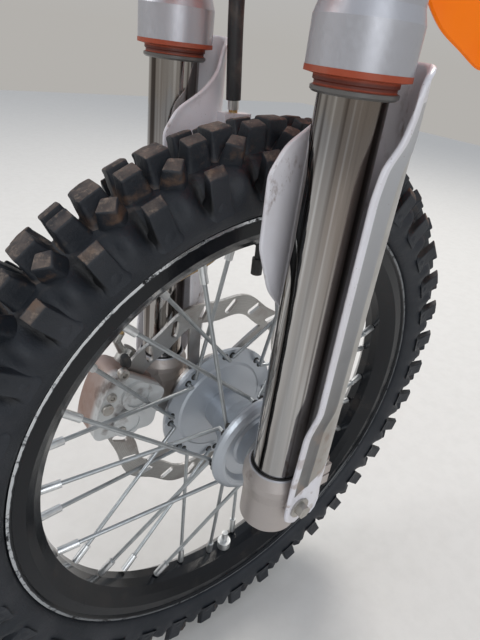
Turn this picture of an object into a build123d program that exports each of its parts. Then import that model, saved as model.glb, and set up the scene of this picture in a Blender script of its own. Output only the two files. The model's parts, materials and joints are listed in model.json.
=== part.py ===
from build123d import *
from math import atan2, cos, degrees, pi, radians, sin, tan
import os

# Front wheel and upside-down fork of a mini motocross bike
# Millimetres. +X forward, +Y to the rider's left, +Z up along the steering axis.
# The origin is the centre of the lower steering bearing. The axle lies below and ahead of it.
# Legs, wheel and brake are laid out from the axle: a height in them is a height above the axle.

# Layout
clamp_offset = 22.0         # steering axis to the leg axes, forward
axle_lead = 31.8            # leg axes to the axle, forward
leg_spacing = 156.0         # leg axis to leg axis
axle_drop = 463.0           # lower steering bearing down to the axle
bearing_spacing = 112.0     # lower to upper steering bearing
fit_gap = 0.05              # clearance of a shaft in its hole
seat_gap = 0.2              # clearance between pieces that only rest together

# Fork legs
inner_tube_r = 16.5
inner_tube_wall = 2.0
inner_tube_foot = 5.0       # height of the inner tube's foot
inner_tube_length = 345.0
outer_tube_bottom = 277.0
outer_tube_top = 618.0
outer_tube_r = 22.1
outer_tube_bore_r = 19.0
bulge_r = 24.0              # thick lower end of the outer tube
bulge_height = 19.0
bulge_taper = 6.0
bush_height = 22.0          # sliding bush above the seal
clamp_zone_r = 24.0         # outer tube where a clamp holds it
clamp_zone_margin = 5.0
cap_flange_height = 4.5
cap_skirt = 12.0
cap_hex_r = 13.0
cap_hex_height = 7.0
seal_height = 10.5
seal_flange_height = 2.5
seal_body_r = 19.6
seal_lip_r = 20.2

# Axle lugs
lug_top = 39.0
# Socket of the lug from its foot: radius, height
lug_socket = [(18.5, -9.0), (20.0, -7.0), (20.0, 18.0), (22.0, 27.0), (22.0, 32.0)]
lug_socket_rim = 2.4        # wall of the socket at its top
lug_wheel_side = 20.0       # from the leg's axis to the face next to the hub
lug_outside = 4.0           # from the leg's axis to the outer end of the axle boss
lug_axle_r = 16.0
lug_ear_reach = 11.0        # pinch ears ahead of the axle boss
lug_slot = 2.0
lug_web_height = 22.0
lug_ear_height = 20.0
lug_ear_root = 8.0          # how far the ears run back into the boss
lug_bolt_r = 3.0
lug_bolt_head_r = 4.8
lug_bolt_head = 4.5
guard_boss_r = 6.5
guard_boss_hole = 5.0
axle_r = 8.5
axle_bore_r = 5.0

# Wheel
rim_flange_r = 191.5
rim_half_width = 19.4
rim_side_r = 175.5
rim_side_half_width = 15.0
rim_bed_r = 167.0
rim_wall = 3.2
bead_seat_r = 179.0
bead_half_width = 15.6
bead_width = 7.0
# Tyre casing from the rim's edge to the crown, and its hollow: y, radius
casing_outline = [(19.6, 192.2), (27.6, 200.0), (29.2, 206.5), (28.6, 213.0), (9.8, 229.9)]
casing_hollow = [(17.5, 208.0), (11.0, 220.0)]
# Top of the knobs: y, radius
knob_tops = [(0.0, 245.4), (12.7, 242.4), (24.2, 233.0), (28.4, 225.0)]
knob_roots = [(28.4, 209.0), (9.0, 226.5)]      # inside the casing
knob_block_top = 245.6
knob_pitches = 37
knob_start = 114.2          # where one pitch starts, degrees
knob_draft = 4.5
# Knobs of one pitch: degrees after its start, corners as distance along the tread and y
knob_pairs = [
    (2.1, [(-6.4, 3.3), (6.4, 3.3), (6.4, 12.3), (-6.4, 12.3)]),
    (6.9, [(-8.0, 17.0), (-0.8, 13.4), (6.6, 17.2), (-2.1, 22.6)]),
]
shoulder_knob = (2.1, 6.2, 24.3, 28.2)      # degrees after the start, half width, y from, y to
centre_knob = (7.3, 7.2, 7.3, 244.9)        # degrees after the start, half width, y, top radius
spoke_count = 32
spoke_r = 1.6
nipple_r = 2.9
nipple_length = 15.0
# Hub from the right end to the disc's seat: y, radius
hub_profile = [
    (-37.0, 21.0), (-27.0, 22.0), (-25.5, 24.0), (-26.5, 33.0), (-31.5, 35.6), (-33.0, 37.4), (-32.6, 39.8),
    (-30.4, 43.0), (-28.0, 45.3), (-26.2, 45.6), (-24.7, 44.6), (-17.0, 34.5), (-8.5, 27.0), (1.0, 21.8),
    (12.0, 18.8), (24.0, 17.8), (26.0, 40.9), (27.2, 43.0), (27.4, 56.0), (30.5, 56.0), (31.5, 46.0),
    (38.0, 42.0),
]
spoke_rows = {
    # y of the bend, hub circle, y at the rim, for the spokes that lead and the spokes that trail
    "near": [(-22.0, 43.6, -0.5), (-18.0, 42.6, 2.5)],
    "far": [(25.0, 50.4, 8.5), (21.0, 50.4, 5.5)],
}
near_hook_end = -28.0       # the right flange's spokes end in blind holes
far_head_y = 30.5           # the left flange's spokes have heads behind it
disc_seat_r = 42.0
disc_pilot_r = 27.0
hub_right_end = -37.0
hub_left_end = 42.0
hub_bore_r = 16.0
disc_y = 46.0
disc_r = 99.0
disc_thickness = 3.0
disc_band = 20.0
disc_waves = 10
disc_wave_height = 2.2
disc_slot_r = 88.5
disc_slot_length = 15.0
disc_slot_width = 6.0
disc_arm_bend = 16.0        # how far an arm leans, degrees
disc_arm_width = 11.0
disc_bolt_circle_r = 37.0
disc_bolt_count = 6
disc_bolt_r = 3.1
first_spoke_angle = 7.25
spoke_lead = 29.6           # hub hole ahead of or behind its rim hole
spoke_head_r = 2.8
spoke_head_height = 1.4
nipple_seat = 1.2
valve_angle = 91.6
rim_lock_angle = -88.4

# Brake caliper
caliper_angle = 161.0
caliper_span = 30.0
caliper_inner_r = 66.0
caliper_outer_r = 117.0
caliper_right = disc_y - 17.0
caliper_left = disc_y + 14.0
caliper_slot = 8.0
caliper_wall = 6.0
piston_boss_r = 12.5
piston_boss_height = 3.0
piston_cap_r = 9.5
piston_cap_depth = 1.5
piston_angles = (153.5, 168.5)
piston_circle = 91.0
pad_pin_r = 2.6
pad_pin_circle = 111.0
pad_pin_head_r = 4.4
pad_pin_head = 2.5
caliper_bolt_r = 4.0
caliper_bolt_depth = 9.0
caliper_bolt_head_r = 6.5
caliper_bolt_head = 6.0
caliper_plate_thickness = 8.0
caliper_eye_r = 9.0
caliper_corner = 7.0
caliper_bolt_places = [(-70.5, 37.0), (-75.0, 13.0)]    # x, height from the axle
port_r = 97.0               # hose port on the caliper's upper end, from the axle
port_y = 56.0

# Brake hose, its points from the top of the lower hose upwards: x, y, height from the axle
hose_r = 5.0
hose_points = [(-2.6, 48.5, 247.0), (-8.0, 48.5, 303.0), (-8.5, 49.0, 350.0)]
# Its upper points: x and y, height from the lower steering bearing
hose_top_points = [
    (49.8, 50.0, -63.0), (53.8, 51.0, -8.0), (54.3, 52.0, 52.0), (51.8, 51.0, 112.0), (48.8, 48.0, 167.0),
]
hose_eye_reach = 21.5       # hose end to the middle of the banjo eye
# Lower hose, down to the caliper
line_r = 3.1
line_points = [
    (-2.0, 48.5, 241.0), (0.5, 48.3, 212.0), (5.0, 48.0, 180.0), (8.0, 47.8, 153.0), (-6.0, 48.2, 132.5),
    (-30.0, 49.0, 124.5), (-54.0, 51.0, 113.5), (-74.0, 53.5, 99.0), (-82.0, 55.5, 82.0),
]
banjo_r = 9.0
banjo_hole_r = 5.1
banjo_height = 9.0
port_eye_r = 7.0

# Clamps and stem
lower_clamp_thickness = 30.0
upper_clamp_thickness = 26.0
clamp_wall = 7.5
clamp_slot = 2.0
clamp_hub_r = 25.0
clamp_bridge_r = 22.0
clamp_bridge_end_r = 24.0
clamp_ear_depth = 18.0
clamp_ear_half = 11.0
clamp_bolt_head_r = 4.6
clamp_bolt_head = 5.0
stem_r = 12.5
stem_bore_r = 8.0
race_r = 23.5
race_height = 12.0
race_rim = 2.0              # thinnest wall of the race
cone_rise = 4.0             # how far the cone narrows
cone_gap = 0.1
cone_collar = 2.0
adjuster_r = 17.0
stem_nut_r = 18.0
stem_nut_height = 8.0
stem_end = 4.0              # stem above its nut
bar_hole_spacing = 80.0
bar_hole_r = 5.2
bar_hole_x = 14.0

# Guards
guard_wall = 3.0
guard_inner_r = 23.0
guard_centre_lead = 10.0    # centre of the guard's front arc ahead of the leg axis
guard_top = 283.0
guard_bottom = 7.0
guard_front_low = 23.0      # lower edge of the front, above the axle boss

guard_notch_shift = 14.0    # keeps the outer tab whole below the front's edge
guard_reach = 60.0
# Rear edge of the guard's arm on the wheel's side, as x, height
guard_wheel_arm = [
    (60.0, 300.0), (20.0, 300.0), (22.0, 264.0), (8.0, 251.0), (-11.0, 240.0), (-20.0, 226.0),
    (-19.0, 186.0), (-8.0, 158.0), (8.0, 140.0), (10.0, 60.0), (40.0, 45.0), (60.0, 45.0),
]
# Rear edge of its outer arm, as x, height
guard_outer_arm = [
    (60.0, 300.0), (14.0, 300.0), (14.0, 252.0), (2.0, 241.0), (-1.0, 230.0), (-1.0, 98.0), (-8.0, 84.0),
    (-10.0, 45.0), (-10.0, 14.0), (0.0, 7.0), (24.0, 9.0), (31.0, 18.0), (33.0, 45.0), (60.0, 60.0),
]
guard_screw_height = 21.0
guard_screw_r = 3.0
guard_screw_depth = 4.0
guard_screw_head_r = 4.8
guard_screw_head = 4.5
guard_washer_r = 7.5
guard_washer = 1.5

# Front fender: x from the steering axis, crown below the lower clamp, half width, lip below the lower clamp
fender_wall = 2.6
fender_rear = [
    (-76.0, 75.0, 40.0, 87.0), (-58.0, 52.0, 43.0, 70.0), (-24.0, 21.0, 43.0, 37.0), (66.0, 13.0, 43.0, 31.0),
]
fender_front = [
    (62.0, 13.0, 46.0, 82.0), (100.0, 20.0, 50.0, 113.0), (144.0, 30.0, 51.0, 135.0),
    (171.0, 37.0, 52.0, 140.0), (232.0, 50.0, 56.0, 95.0), (300.0, 63.0, 58.0, 92.0),
    (380.0, 79.0, 49.0, 98.0), (450.0, 93.0, 22.0, 101.0),
]
fender_bolt_places = [(-12.0, -18.0), (-12.0, 18.0), (24.0, -18.0), (24.0, 18.0)]
fender_boss_length = 29.0
fender_boss_r = 7.0
fender_bolt_r = 5.0

# Values worked out from those above
leg_y = leg_spacing / 2
axle_x = clamp_offset + axle_lead
lug_bolt_x = axle_lead + lug_axle_r + lug_ear_reach / 2 + 1.0
lower_clamp_top = -race_height / 2 - cone_collar
lower_clamp_bottom = lower_clamp_top - lower_clamp_thickness
upper_clamp_bottom = bearing_spacing + race_height / 2 + 7.0
upper_clamp_top = upper_clamp_bottom + upper_clamp_thickness

SIDES = (("right", -1), ("left", 1))


def at_axle(shape):
    return Pos(axle_x, 0, -axle_drop) * shape


def at_leg(shape, side):
    return Pos(clamp_offset, side * leg_y, -axle_drop) * shape


def rod_y(radius, y_from, y_to, x=0.0, z=0.0):
    # round bar along Y
    return Pos(x, (y_from + y_to) / 2, z) * Rot(90, 0, 0) * Cylinder(radius, abs(y_to - y_from))


def rod_z(radius, z_from, z_to, x=0.0, y=0.0):
    # round bar along Z
    return Pos(x, y, (z_from + z_to) / 2) * Cylinder(radius, abs(z_to - z_from))


def turned_z(points):
    # solid turned about Z from its half outline of radius, height
    return revolve(Plane.XZ * make_face(Polyline(*points, close=True)), Axis.Z, 360)


def turned_y(points):
    # solid turned about Y from its half outline of y, radius
    return revolve(Plane.YZ * make_face(Polyline(*points, close=True)), Axis.Y, 360)


def hex_y(radius, y_from, y_to, x=0.0, z=0.0):
    bar = extrude(RegularPolygon(radius, 6), abs(y_to - y_from) / 2, both=True)
    return Pos(x, (y_from + y_to) / 2, z) * Rot(90, 0, 0) * bar


def hex_z(radius, z_from, z_to):
    return Pos(0, 0, z_from) * extrude(RegularPolygon(radius, 6), z_to - z_from)


# Fork legs

def inner_tube():
    top = inner_tube_foot + inner_tube_length
    tube = rod_z(inner_tube_r, inner_tube_foot, top)
    return tube - rod_z(inner_tube_r - inner_tube_wall, inner_tube_foot, top)


def outer_tube():
    lower = axle_drop + lower_clamp_bottom - clamp_zone_margin
    lower_end = axle_drop + lower_clamp_top + clamp_zone_margin
    upper = axle_drop + upper_clamp_bottom - clamp_zone_margin
    step = clamp_zone_r - outer_tube_r
    shoulder = outer_tube_bottom + bulge_height
    tube = turned_z([
        (inner_tube_r + fit_gap, outer_tube_bottom),
        (bulge_r, outer_tube_bottom),
        (bulge_r, shoulder),
        (outer_tube_r, shoulder + bulge_taper),
        (outer_tube_r, lower - 4 * step),
        (clamp_zone_r, lower),
        (clamp_zone_r, lower_end),
        (outer_tube_r, lower_end + 4 * step),
        (outer_tube_r, upper - 4 * step),
        (clamp_zone_r, upper),
        (clamp_zone_r, outer_tube_top),
        (outer_tube_bore_r, outer_tube_top),
        (outer_tube_bore_r, outer_tube_bottom + bush_height),
        (inner_tube_r + fit_gap, outer_tube_bottom + bush_height),
    ])
    return tube


def fork_cap():
    face = outer_tube_top + cap_flange_height
    flange = rod_z(clamp_zone_r - 1.0, outer_tube_top, face)
    skirt = rod_z(outer_tube_bore_r - fit_gap, outer_tube_top - cap_skirt, outer_tube_top)
    crown = hex_z(cap_hex_r, face, face + cap_hex_height)
    return flange + skirt + crown


def dust_seal():
    bore = inner_tube_r + fit_gap
    bottom = outer_tube_bottom - seal_height
    flange = outer_tube_bottom - seal_flange_height
    return turned_z([
        (bore, bottom),
        (seal_lip_r - 1.2, bottom),
        (seal_lip_r, bottom + 1.0),
        (seal_lip_r, bottom + 2.6),
        (seal_body_r - 0.8, bottom + 3.2),
        (seal_body_r - 0.8, bottom + 4.6),
        (seal_body_r, bottom + 5.2),
        (seal_body_r, flange - 0.8),
        (bulge_r + 0.2, flange),
        (bulge_r + 0.2, outer_tube_bottom),
        (bore, outer_tube_bottom),
    ])


def axle_lug(side):
    # socket for the tube, turned, with the axle boss ahead of it and pinch ears at the front
    rim = [(inner_tube_r + lug_socket_rim, lug_top), (0, lug_top)]
    socket = turned_z([(0, lug_socket[0][1])] + lug_socket + rim)
    inside = -side * lug_wheel_side
    outside = side * lug_outside
    width = lug_wheel_side + lug_outside
    middle = (inside + outside) / 2
    boss = rod_y(lug_axle_r, inside, outside, axle_lead, 0)
    web = Pos(axle_lead / 2, middle, 2.0) * Box(axle_lead, width, lug_web_height)
    ear_x = axle_lead + lug_axle_r + (lug_ear_reach - lug_ear_root) / 2
    ears = Pos(ear_x, middle, 0) * Box(lug_ear_reach + lug_ear_root, width, lug_ear_height)
    body = socket + web + boss + ears
    if side > 0:
        body += caliper_plate()
    boss_face = guard_inner_r - seat_gap
    body += rod_y(guard_boss_r, side * (inner_tube_r + 0.5), side * boss_face, 0, guard_screw_height)
    hole_end = side * (boss_face - guard_boss_hole)
    body -= rod_y(guard_screw_r + fit_gap, hole_end, side * boss_face, 0, guard_screw_height)
    body -= rod_z(inner_tube_r + fit_gap, inner_tube_foot, lug_top)
    body -= rod_y(axle_r + fit_gap, inside, outside, axle_lead, 0)
    body -= Pos(ear_x, middle, 0) * Box(lug_ear_reach + lug_ear_root + 12.0, width, lug_slot)
    for y in lug_bolt_places(side):
        body -= rod_z(lug_bolt_r + fit_gap, -lug_ear_height / 2, lug_ear_height / 2, lug_bolt_x, y)
    return body


def lug_bolt_places(side):
    width = lug_wheel_side + lug_outside
    middle = side * (lug_outside - lug_wheel_side) / 2
    return middle - width / 4, middle + width / 4


def lug_bolts():
    # pinch bolts through the ears ahead of the axle
    made = []
    for _, side in SIDES:
        for y in lug_bolt_places(side):
            face = lug_ear_height / 2
            bolt = rod_z(lug_bolt_r, -face, face, lug_bolt_x, y)
            bolt += rod_z(lug_bolt_head_r, face, face + lug_bolt_head, lug_bolt_x, y)
            made.append(at_leg(bolt, side).solid())
    return Compound(children=made)


def caliper_plate():
    # plate behind the left leg that carries the caliper, in the leg's own frame
    rounds = [Circle(inner_tube_r + 1.5)]
    rounds += [Pos(x + axle_lead, z) * Circle(caliper_eye_r) for x, z in caliper_bolt_places]
    plan = make_hull([edge for round_end in rounds for edge in round_end.edges()])
    low = caliper_left + seat_gap - leg_y
    plate = Pos(0, low, 0) * extrude(Plane.XZ * make_face(plan.edges()), -caliper_plate_thickness)
    for x, z in caliper_bolt_places:
        plate -= rod_y(caliper_bolt_r + fit_gap, low, low + caliper_plate_thickness, x + axle_lead, z)
    return plate


# Guards

def guard(side):
    inner = guard_inner_r
    outer = guard_inner_r + guard_wall
    height = guard_top - guard_bottom
    behind = Pos(guard_centre_lead - guard_reach / 2, 0, guard_bottom + height / 2)
    shell = rod_z(outer, guard_bottom, guard_top, guard_centre_lead, 0)
    shell += behind * Box(guard_reach, 2 * outer, height)
    hollow = rod_z(inner, guard_bottom, guard_top, guard_centre_lead, 0)
    hollow += behind * Box(guard_reach, 2 * inner, height)
    shell -= hollow
    wheel_cut = extrude(Plane.XZ * make_face(Polyline(*guard_wheel_arm, close=True)), -guard_reach)
    outer_cut = extrude(Plane.XZ * make_face(Polyline(*guard_outer_arm, close=True)), guard_reach)
    piece = (shell & wheel_cut) + (shell & outer_cut)
    notch = Box(guard_reach, 2 * outer, guard_front_low)
    piece -= Pos(guard_centre_lead + guard_reach / 2, guard_notch_shift, guard_front_low / 2) * notch
    piece -= rod_y(guard_screw_r + fit_gap, -outer, -inner, 0, guard_screw_height)
    return mirror(piece, Plane.XZ) if side > 0 else piece


# Wheel, laid out round the axle with y across the bike

def rim():
    bed_top = rim_bed_r + rim_wall
    lip = rim_half_width
    side = rim_side_half_width
    seat = bead_half_width
    half = [
        (0, rim_bed_r),
        (8.5, rim_bed_r + 0.8),
        (side - 1.5, rim_side_r - 2.0),
        (side, rim_side_r),
        (side + 3.0, rim_side_r + 4.0),
        (side + 3.0, rim_flange_r - 4.0),
        (lip, rim_flange_r - 3.0),
        (lip, rim_flange_r),
        (lip - 2.2, rim_flange_r),
        (seat, rim_flange_r - 4.5),
        (seat, bead_seat_r),
        (11.0, bead_seat_r - 1.0),
        (8.0, bed_top + 1.0),
        (0, bed_top),
    ]
    other = [(-y, r) for y, r in reversed(half[1:-1])]
    return turned_y(half + other)


def block_between(ring, other):
    # flat-sided block between two rings of as many corners
    faces = [Face(Wire.make_polygon(ring)), Face(Wire.make_polygon(other))]
    for k in range(len(ring)):
        faces.append(Face(Wire.make_polygon([ring[k - 1], ring[k], other[k], other[k - 1]])))
    return Solid(Shell(faces))


def wedge(outline, start, end):
    # block between two planes through the axle, from its outline of y, radius
    rings = [[Vector(r * cos(a), y, r * sin(a)) for y, r in outline] for a in (start, end)]
    return block_between(*rings)


def spread(corners, out):
    # corners of the outline moved outwards, its edges staying parallel
    moved = []
    for k, (u, v) in enumerate(corners):
        before, after = corners[k - 1], corners[(k + 1) % len(corners)]
        ways = [Vector(u - before[0], v - before[1]), Vector(after[0] - u, after[1] - v)]
        normals = [Vector(way.Y, -way.X).normalized() for way in ways]
        mitre = (normals[0] + normals[1]) * (1 / (1 + normals[0].dot(normals[1])))
        moved.append((u + out * mitre.X, v + out * mitre.Y))
    return moved


def knob(angle, corners, top, bottom, draft):
    # tapered block standing in the casing
    way = Vector(cos(angle), 0, sin(angle))
    along = Vector(-sin(angle), 0, cos(angle))
    turned = sum(a[0] * b[1] - b[0] * a[1] for a, b in zip(corners, corners[1:] + corners[:1]))
    out = (top - bottom) * tan(radians(draft)) * (1 if turned > 0 else -1)
    rings = []
    for radius, outline in ((top, corners), (bottom, spread(corners, out))):
        rings.append([way * radius + along * u + Vector(0, v, 0) for u, v in outline])
    return block_between(*rings)


def tyre():
    # one pitch of casing with its knobs, repeated round the axle and joined
    pitch = radians(360 / knob_pitches)
    start = radians(knob_start)
    flat = 1 / cos(pitch / 2)
    bead = bead_half_width - seat_gap
    foot = bead_seat_r + seat_gap
    half = [(bead, foot), (bead, casing_outline[0][1])] + casing_outline
    inside = [(bead - bead_width, foot - 5.0)] + casing_hollow

    def full(points):
        return [(y, r * flat) for y, r in points] + [(-y, r * flat) for y, r in reversed(points)]

    body = wedge(full(half), start, start + pitch)
    crown_side = list(reversed(knob_tops[1:] + knob_roots))
    crown = full(crown_side)
    crown.insert(len(crown_side), (0, knob_tops[0][1] * flat))
    crown = wedge(crown, start, start + pitch)
    top, bottom = knob_block_top, knob_roots[0][1] - 4.0
    blocks = []
    for side in (-1, 1):
        for after, corners in knob_pairs:
            placed = [(u, side * y) for u, y in corners]
            blocks.append(knob(start + radians(after), placed, top, bottom, knob_draft) & crown)
        after, half_width, y_from, y_to = shoulder_knob
        placed = [(-half_width, side * y_from), (half_width, side * y_from)]
        placed += [(half_width, side * y_to), (-half_width, side * y_to)]
        blocks.append(knob(start + radians(after), placed, top, bottom, 0.0) & crown)
    after, half_width, y, top = centre_knob
    placed = [(-half_width, -y), (half_width, -y), (half_width, y), (-half_width, y)]
    blocks.append(knob(start + radians(after), placed, top, knob_roots[1][1], knob_draft))
    for block in blocks:
        body += block
    body -= wedge(full(inside), start, start + pitch)
    faces = []
    for face in body.faces():
        spots = [atan2(v.Z, v.X) for v in face.vertices()]
        cut = any(all(abs(s - edge) < 1e-6 for s in spots) for edge in (start, start + pitch))
        if not cut:
            faces.append(face)
    print("tyre faces of one pitch", len(faces))
    ring = [Rot(0, -k * 360 / knob_pitches, 0) * face for k in range(knob_pitches) for face in faces]
    return Solid(Shell(ring))


def spoke_ends():
    # bend, end of the hook, seat in the rim and whether it is on the left flange, for every spoke
    rows = []
    step = 360 / spoke_count
    for k in range(spoke_count):
        far = k % 2 == 0
        turn = 1 if (k // 2) % 2 == 0 else -1
        bend_y, circle, rim_y = spoke_rows["far" if far else "near"][0 if turn > 0 else 1]
        rim_angle = radians(first_spoke_angle + k * step)
        hub_angle = rim_angle + turn * radians(spoke_lead)
        hook_y = far_head_y if far else near_hook_end
        foot_r = rim_bed_r - nipple_seat
        foot = Vector(foot_r * cos(rim_angle), rim_y, foot_r * sin(rim_angle))
        bend = Vector(circle * cos(hub_angle), bend_y, circle * sin(hub_angle))
        rows.append((bend, Vector(bend.X, hook_y, bend.Z), foot, far))
    return rows


def bar_between(radius, start, end):
    way = end - start
    return Plane(origin=start, z_dir=way) * Pos(0, 0, way.length / 2) * Cylinder(radius, way.length)


def spokes():
    made = []
    for bend, hook, foot, far in spoke_ends():
        way = (foot - bend).normalized()
        stop = foot - way * nipple_length
        piece = bar_between(spoke_r, bend, stop) + bar_between(spoke_r, bend, hook)
        piece += Pos(bend.X, bend.Y, bend.Z) * Sphere(spoke_r)
        if far:
            piece += bar_between(spoke_head_r, hook, hook + Vector(0, spoke_head_height, 0))
        made.append(piece)
    return Compound(children=[p.solid() for p in made])


def nipples():
    made = []
    for bend, _, foot, _ in spoke_ends():
        way = (foot - bend).normalized()
        start = foot - way * nipple_length
        made.append(bar_between(nipple_r, start, foot).solid())
    return Compound(children=made)


def hub():
    seat = disc_y - disc_thickness / 2
    outline = [(hub_right_end, hub_bore_r)] + hub_profile
    outline += [(seat, disc_seat_r), (seat, disc_pilot_r), (hub_left_end, disc_pilot_r)]
    outline.append((hub_left_end, hub_bore_r))
    body = turned_y(outline)
    for bend, hook, foot, far in spoke_ends():
        body -= bar_between(spoke_r + fit_gap, bend, hook)
        if far:
            body -= bar_between(spoke_head_r + fit_gap, hook, hook + Vector(0, spoke_head_height + 0.6, 0))
    return body


def hub_seals():
    made = []
    for end, out in ((hub_right_end, -1), (hub_left_end, 1)):
        inner = end - out * 8.0
        ring = rod_y(hub_bore_r - fit_gap, inner, end) - rod_y(axle_r + fit_gap, inner, end)
        made.append(ring.solid())
    return Compound(children=made)


def wheel_spacer(side):
    end = hub_right_end if side < 0 else hub_left_end
    lug = side * (leg_y - lug_wheel_side)
    end += side * seat_gap
    return rod_y(13.0, end, lug) - rod_y(axle_r + fit_gap, end, lug)


def axle():
    right = -(leg_y + lug_outside)
    left = leg_y + lug_outside
    return rod_y(axle_r, right, left) - rod_y(axle_bore_r, right, left)


def axle_nut():
    face = leg_y + lug_outside
    flange = rod_y(11.5, face, face + 2.5)
    return flange + hex_y(10.5, face + 2.5, face + 8.0)


def polar(radius, angle):
    return radius * cos(radians(angle)), radius * sin(radians(angle))


def wavy_circle(radius):
    steps = disc_waves * 6
    points = [polar(radius + disc_wave_height * cos(2 * pi * k / 6), k * 360 / steps) for k in range(steps)]
    return make_face(Spline(*points, periodic=True))


def disc_arm(angle):
    # arm that leans back from the bolt circle out to the band
    low, high = disc_bolt_circle_r, disc_r - disc_band + 5.0
    lean = ((low, 0.0), ((low + high) / 2, 0.65 * disc_arm_bend), (high, disc_arm_bend))
    sides = []
    for edge in (-1, 1):
        half = [edge * degrees(disc_arm_width / 2 / r) for r, _ in lean]
        sides.append([polar(r, angle + turn + wide) for (r, turn), wide in zip(lean, half)])
    (a, b, c), (d, e, f) = sides
    return make_face(ThreePointArc(a, b, c) + Line(c, f) + ThreePointArc(f, e, d) + Line(d, a))


def brake_disc():
    low = disc_y - disc_thickness / 2
    plan = wavy_circle(disc_r - disc_wave_height) - wavy_circle(disc_r - disc_band)
    for k in range(2 * disc_waves):
        turn = Rot(0, 0, (k + 0.5) * 180 / disc_waves)
        plan -= turn * Pos(disc_slot_r, 0) * Rot(0, 0, 35) * SlotOverall(disc_slot_length, disc_slot_width)
    plan += Circle(disc_bolt_circle_r + 5.0) - Circle(disc_pilot_r + 0.5)
    for k in range(disc_bolt_count):
        plan += disc_arm(k * 360 / disc_bolt_count)
    for k in range(disc_bolt_count):
        plan -= Pos(*polar(disc_bolt_circle_r, k * 360 / disc_bolt_count)) * Circle(disc_bolt_r + fit_gap)
    return Pos(0, low, 0) * Rot(-90, 0, 0) * extrude(plan, disc_thickness)


def disc_bolts():
    made = []
    outer = disc_y + disc_thickness / 2
    for k in range(disc_bolt_count):
        x, z = polar(disc_bolt_circle_r, -k * 360 / disc_bolt_count)
        bolt = rod_y(5.0, outer, outer + 3.0, x, z)
        bolt += rod_y(disc_bolt_r, outer - disc_thickness, outer, x, z)
        made.append(bolt.solid())
    return Compound(children=made)


def tyre_valve():
    a = radians(valve_angle)
    way = Vector(cos(a), 0, sin(a))
    base = way * (rim_bed_r - 0.2)
    stem = bar_between(2.6, way * 144.0, base)
    nut = bar_between(5.0, way * (rim_bed_r - 4.2), base)
    cap = bar_between(4.0, way * 140.0, way * 152.0)
    return stem + nut + cap


def rim_lock():
    a = radians(rim_lock_angle)
    way = Vector(cos(a), 0, sin(a))
    base = way * (rim_bed_r - 0.2)
    return bar_between(3.0, way * 147.0, base) + bar_between(6.5, way * (rim_bed_r - 8.2), base)


# Front brake

def sector(inner_r, outer_r, from_angle, to_angle, y_from, y_to):
    # block between two radii and two angles round the axle
    a, b, m = radians(from_angle), radians(to_angle), radians((from_angle + to_angle) / 2)
    p = [(r * cos(t), r * sin(t)) for r in (inner_r, outer_r) for t in (a, m, b)]
    edges = ThreePointArc(p[0], p[1], p[2]) + Line(p[2], p[5])
    edges += ThreePointArc(p[5], p[4], p[3]) + Line(p[3], p[0])
    return Pos(0, y_from, 0) * extrude(Plane.XZ * make_face(edges), -(y_to - y_from))


def caliper_body():
    low = caliper_angle - caliper_span / 2
    high = caliper_angle + caliper_span / 2
    body = sector(caliper_inner_r, caliper_outer_r, low, high, caliper_right, caliper_left)
    body = fillet(body.edges().filter_by(Axis.Y), caliper_corner)
    slot = caliper_slot / 2
    body -= sector(caliper_inner_r - 5, disc_r + 4.0, low - 5, high + 5, disc_y - slot, disc_y + slot)
    inner_right, inner_left = caliper_right + caliper_wall, caliper_left - caliper_wall
    body -= sector(caliper_inner_r + 10, disc_r + 1.0, low + 6, high - 6, inner_right, inner_left)
    for angle in piston_angles:
        x, z = polar(piston_circle, angle)
        face = caliper_right - piston_boss_height
        body += rod_y(piston_boss_r, face, caliper_right + 1.0, x, z)
        body -= rod_y(piston_cap_r, face, face + piston_cap_depth, x, z)
    for x, z in caliper_bolt_places:
        body -= rod_y(caliper_bolt_r + fit_gap, caliper_left - caliper_bolt_depth, caliper_left, x, z)
    x, z = polar(pad_pin_circle, caliper_angle)
    body -= rod_y(pad_pin_r + fit_gap, caliper_right, caliper_left, x, z)
    return body


def caliper_bolts():
    # bolts through the plate and the pin over the pads
    made = []
    face = caliper_left + seat_gap + caliper_plate_thickness
    for x, z in caliper_bolt_places:
        bolt = rod_y(caliper_bolt_r, caliper_left - caliper_bolt_depth / 2, face, x, z)
        bolt += rod_y(caliper_bolt_head_r, face, face + caliper_bolt_head, x, z)
        made.append(bolt.solid())
    x, z = polar(pad_pin_circle, caliper_angle)
    pin = rod_y(pad_pin_r, caliper_right, caliper_left, x, z)
    pin += rod_y(pad_pin_head_r, caliper_right - pad_pin_head, caliper_right, x, z)
    made.append(pin.solid())
    return Compound(children=made)


def brake_pads():
    low = caliper_angle - caliper_span / 2 + 7.0
    high = caliper_angle + caliper_span / 2 - 7.0
    made = []
    for side in (-1, 1):
        face = disc_y + side * (disc_thickness / 2 + 0.3)
        back = disc_y + side * (caliper_left - caliper_wall - disc_y - seat_gap)
        a, b = min(face, back), max(face, back)
        made.append(sector(caliper_inner_r + 11, disc_r - 0.5, low, high, a, b).solid())
    return Compound(children=made)


# Steering head

def clamp_plan(bore):
    eye = bore + clamp_wall
    plan = Circle(clamp_hub_r)
    for side in (-1, 1):
        plan += Pos(clamp_offset, side * leg_y) * Circle(eye)
        outer_end = Pos(clamp_offset, side * (leg_y - 6)) * Circle(clamp_bridge_end_r)
        plan += make_hull(Circle(clamp_bridge_r).edges() + outer_end.edges())
        plan += Pos(clamp_offset - eye, side * leg_y) * Rectangle(clamp_ear_depth, 2 * clamp_ear_half)
    for side in (-1, 1):
        plan -= Pos(clamp_offset, side * leg_y) * Circle(bore)
        plan -= Pos(clamp_offset - eye + 1.0, side * leg_y) * Rectangle(40.0, clamp_slot)
    return plan


def clamp(bottom, thickness):
    plan = clamp_plan(clamp_zone_r + fit_gap) - Circle(stem_r + fit_gap)
    return Pos(0, 0, bottom) * extrude(plan, thickness)


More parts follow.
